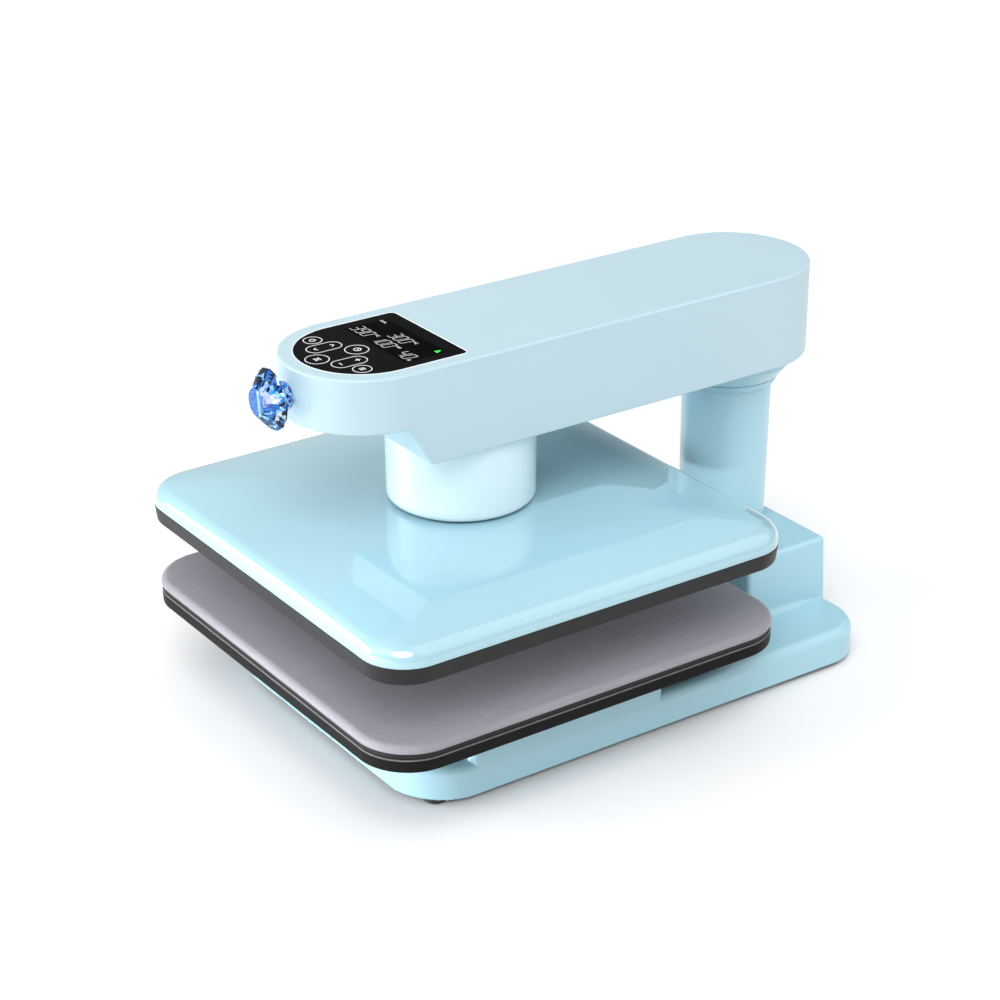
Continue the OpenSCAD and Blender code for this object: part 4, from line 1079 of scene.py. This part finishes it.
world = bpy.data.worlds.new("studio")
scene.world = world
world.use_nodes = True
wt = world.node_tree
bg = wt.nodes["Background"]
way = wt.nodes.new("ShaderNodeTexCoord")
up = wt.nodes.new("ShaderNodeSeparateXYZ")
sky = wt.nodes.new("ShaderNodeValToRGB")
wt.links.new(way.outputs["Generated"], up.inputs["Vector"])
wt.links.new(up.outputs["Z"], sky.inputs["Fac"])
wt.links.new(sky.outputs["Color"], bg.inputs["Color"])


def levels(ramp, *stops):
    while len(ramp.elements) < len(stops):
        ramp.elements.new(0.5)
    for e, (at, level) in zip(ramp.elements, stops):
        e.position = at
        e.color = (level * 0.985, level * 0.995, level, 1.0)


levels(sky.color_ramp, (0.0, 0.80), (0.30, 0.74), (0.60, 0.85), (1.0, 1.04))
# a dark flag behind the object, low on the far side
band = wt.nodes.new("ShaderNodeValToRGB")
levels(band.color_ramp, (0.12, 0.1), (0.25, 1.0), (0.435, 1.0), (0.52, 0.0))
cover = band.outputs["Color"]
for toward, start, stop in (((0.574, 0.819, 0.0), -0.05, 0.0), ((-0.819, 0.574, 0.0), 0.70, 0.84)):
    lobe = wt.nodes.new("ShaderNodeVectorMath")
    lobe.operation = "DOT_PRODUCT"
    lobe.inputs[1].default_value = toward
    reach = wt.nodes.new("ShaderNodeMapRange")
    reach.interpolation_type = "SMOOTHSTEP"
    reach.inputs["From Min"].default_value = start
    reach.inputs["From Max"].default_value = stop
    both = wt.nodes.new("ShaderNodeMath")
    both.operation = "MULTIPLY"
    wt.links.new(way.outputs["Generated"], lobe.inputs[0])
    wt.links.new(lobe.outputs["Value"], reach.inputs["Value"])
    wt.links.new(cover, both.inputs[0])
    wt.links.new(reach.outputs["Result"], both.inputs[1])
    cover = both.outputs["Value"]
shade = wt.nodes.new("ShaderNodeMapRange")
for key, value in (("To Min", 0.72), ("To Max", 0.10)):
    shade.inputs[key].default_value = value
wt.links.new(up.outputs["Z"], band.inputs["Fac"])
wt.links.new(cover, shade.inputs["Value"])
wt.links.new(shade.outputs["Result"], bg.inputs["Strength"])


def area(name, loc, aim, size, power, colour=(1, 1, 1)):
    ld = bpy.data.lights.new(name, "AREA")
    ld.shape = "RECTANGLE"
    ld.size, ld.size_y = size
    ld.energy = power
    ld.color = colour
    ob = bpy.data.objects.new(name, ld)
    scene.collection.objects.link(ob)
    ob.location = loc
    ob.rotation_euler = (Vector(aim) - Vector(loc)).to_track_quat("-Z", "Y").to_euler()
    return ob


def broad(name, way, power, spread, colour=(1, 1, 1)):
    """A far, wide source that lights the floor evenly."""
    ld = bpy.data.lights.new(name, "SUN")
    ld.energy, ld.angle, ld.color = power, math.radians(spread), colour
    ob = bpy.data.objects.new(name, ld)
    scene.collection.objects.link(ob)
    ob.rotation_euler = (-Vector(way)).to_track_quat("-Z", "Y").to_euler()


broad("soft_right", (0.47, -0.42, 0.78), 1.85, 40)
broad("soft_front", (-0.12, -0.66, 0.74), 0.38, 40, (0.97, 0.985, 1.0))
area("key_front", (-1.25, -1.75, 0.68), (0, -0.15, 0.2), (1.3, 0.9), 26, (0.95, 0.97, 1.0))
low = area("low_front", (-0.20, -1.35, 0.05), (0.14, -0.2, 0.03), (0.5, 0.08), 0.42, (0.98, 0.985, 1.0))
low.data.spread = math.radians(22)
area("lift_front", (0.15, -1.40, 0.16), (0.05, -0.2, 0.18), (1.0, 0.3), 1.5, (0.97, 0.985, 1.0))
broad("soft_back", (0.40, 0.52, 0.76), 0.72, 70, (0.97, 0.98, 1.0))
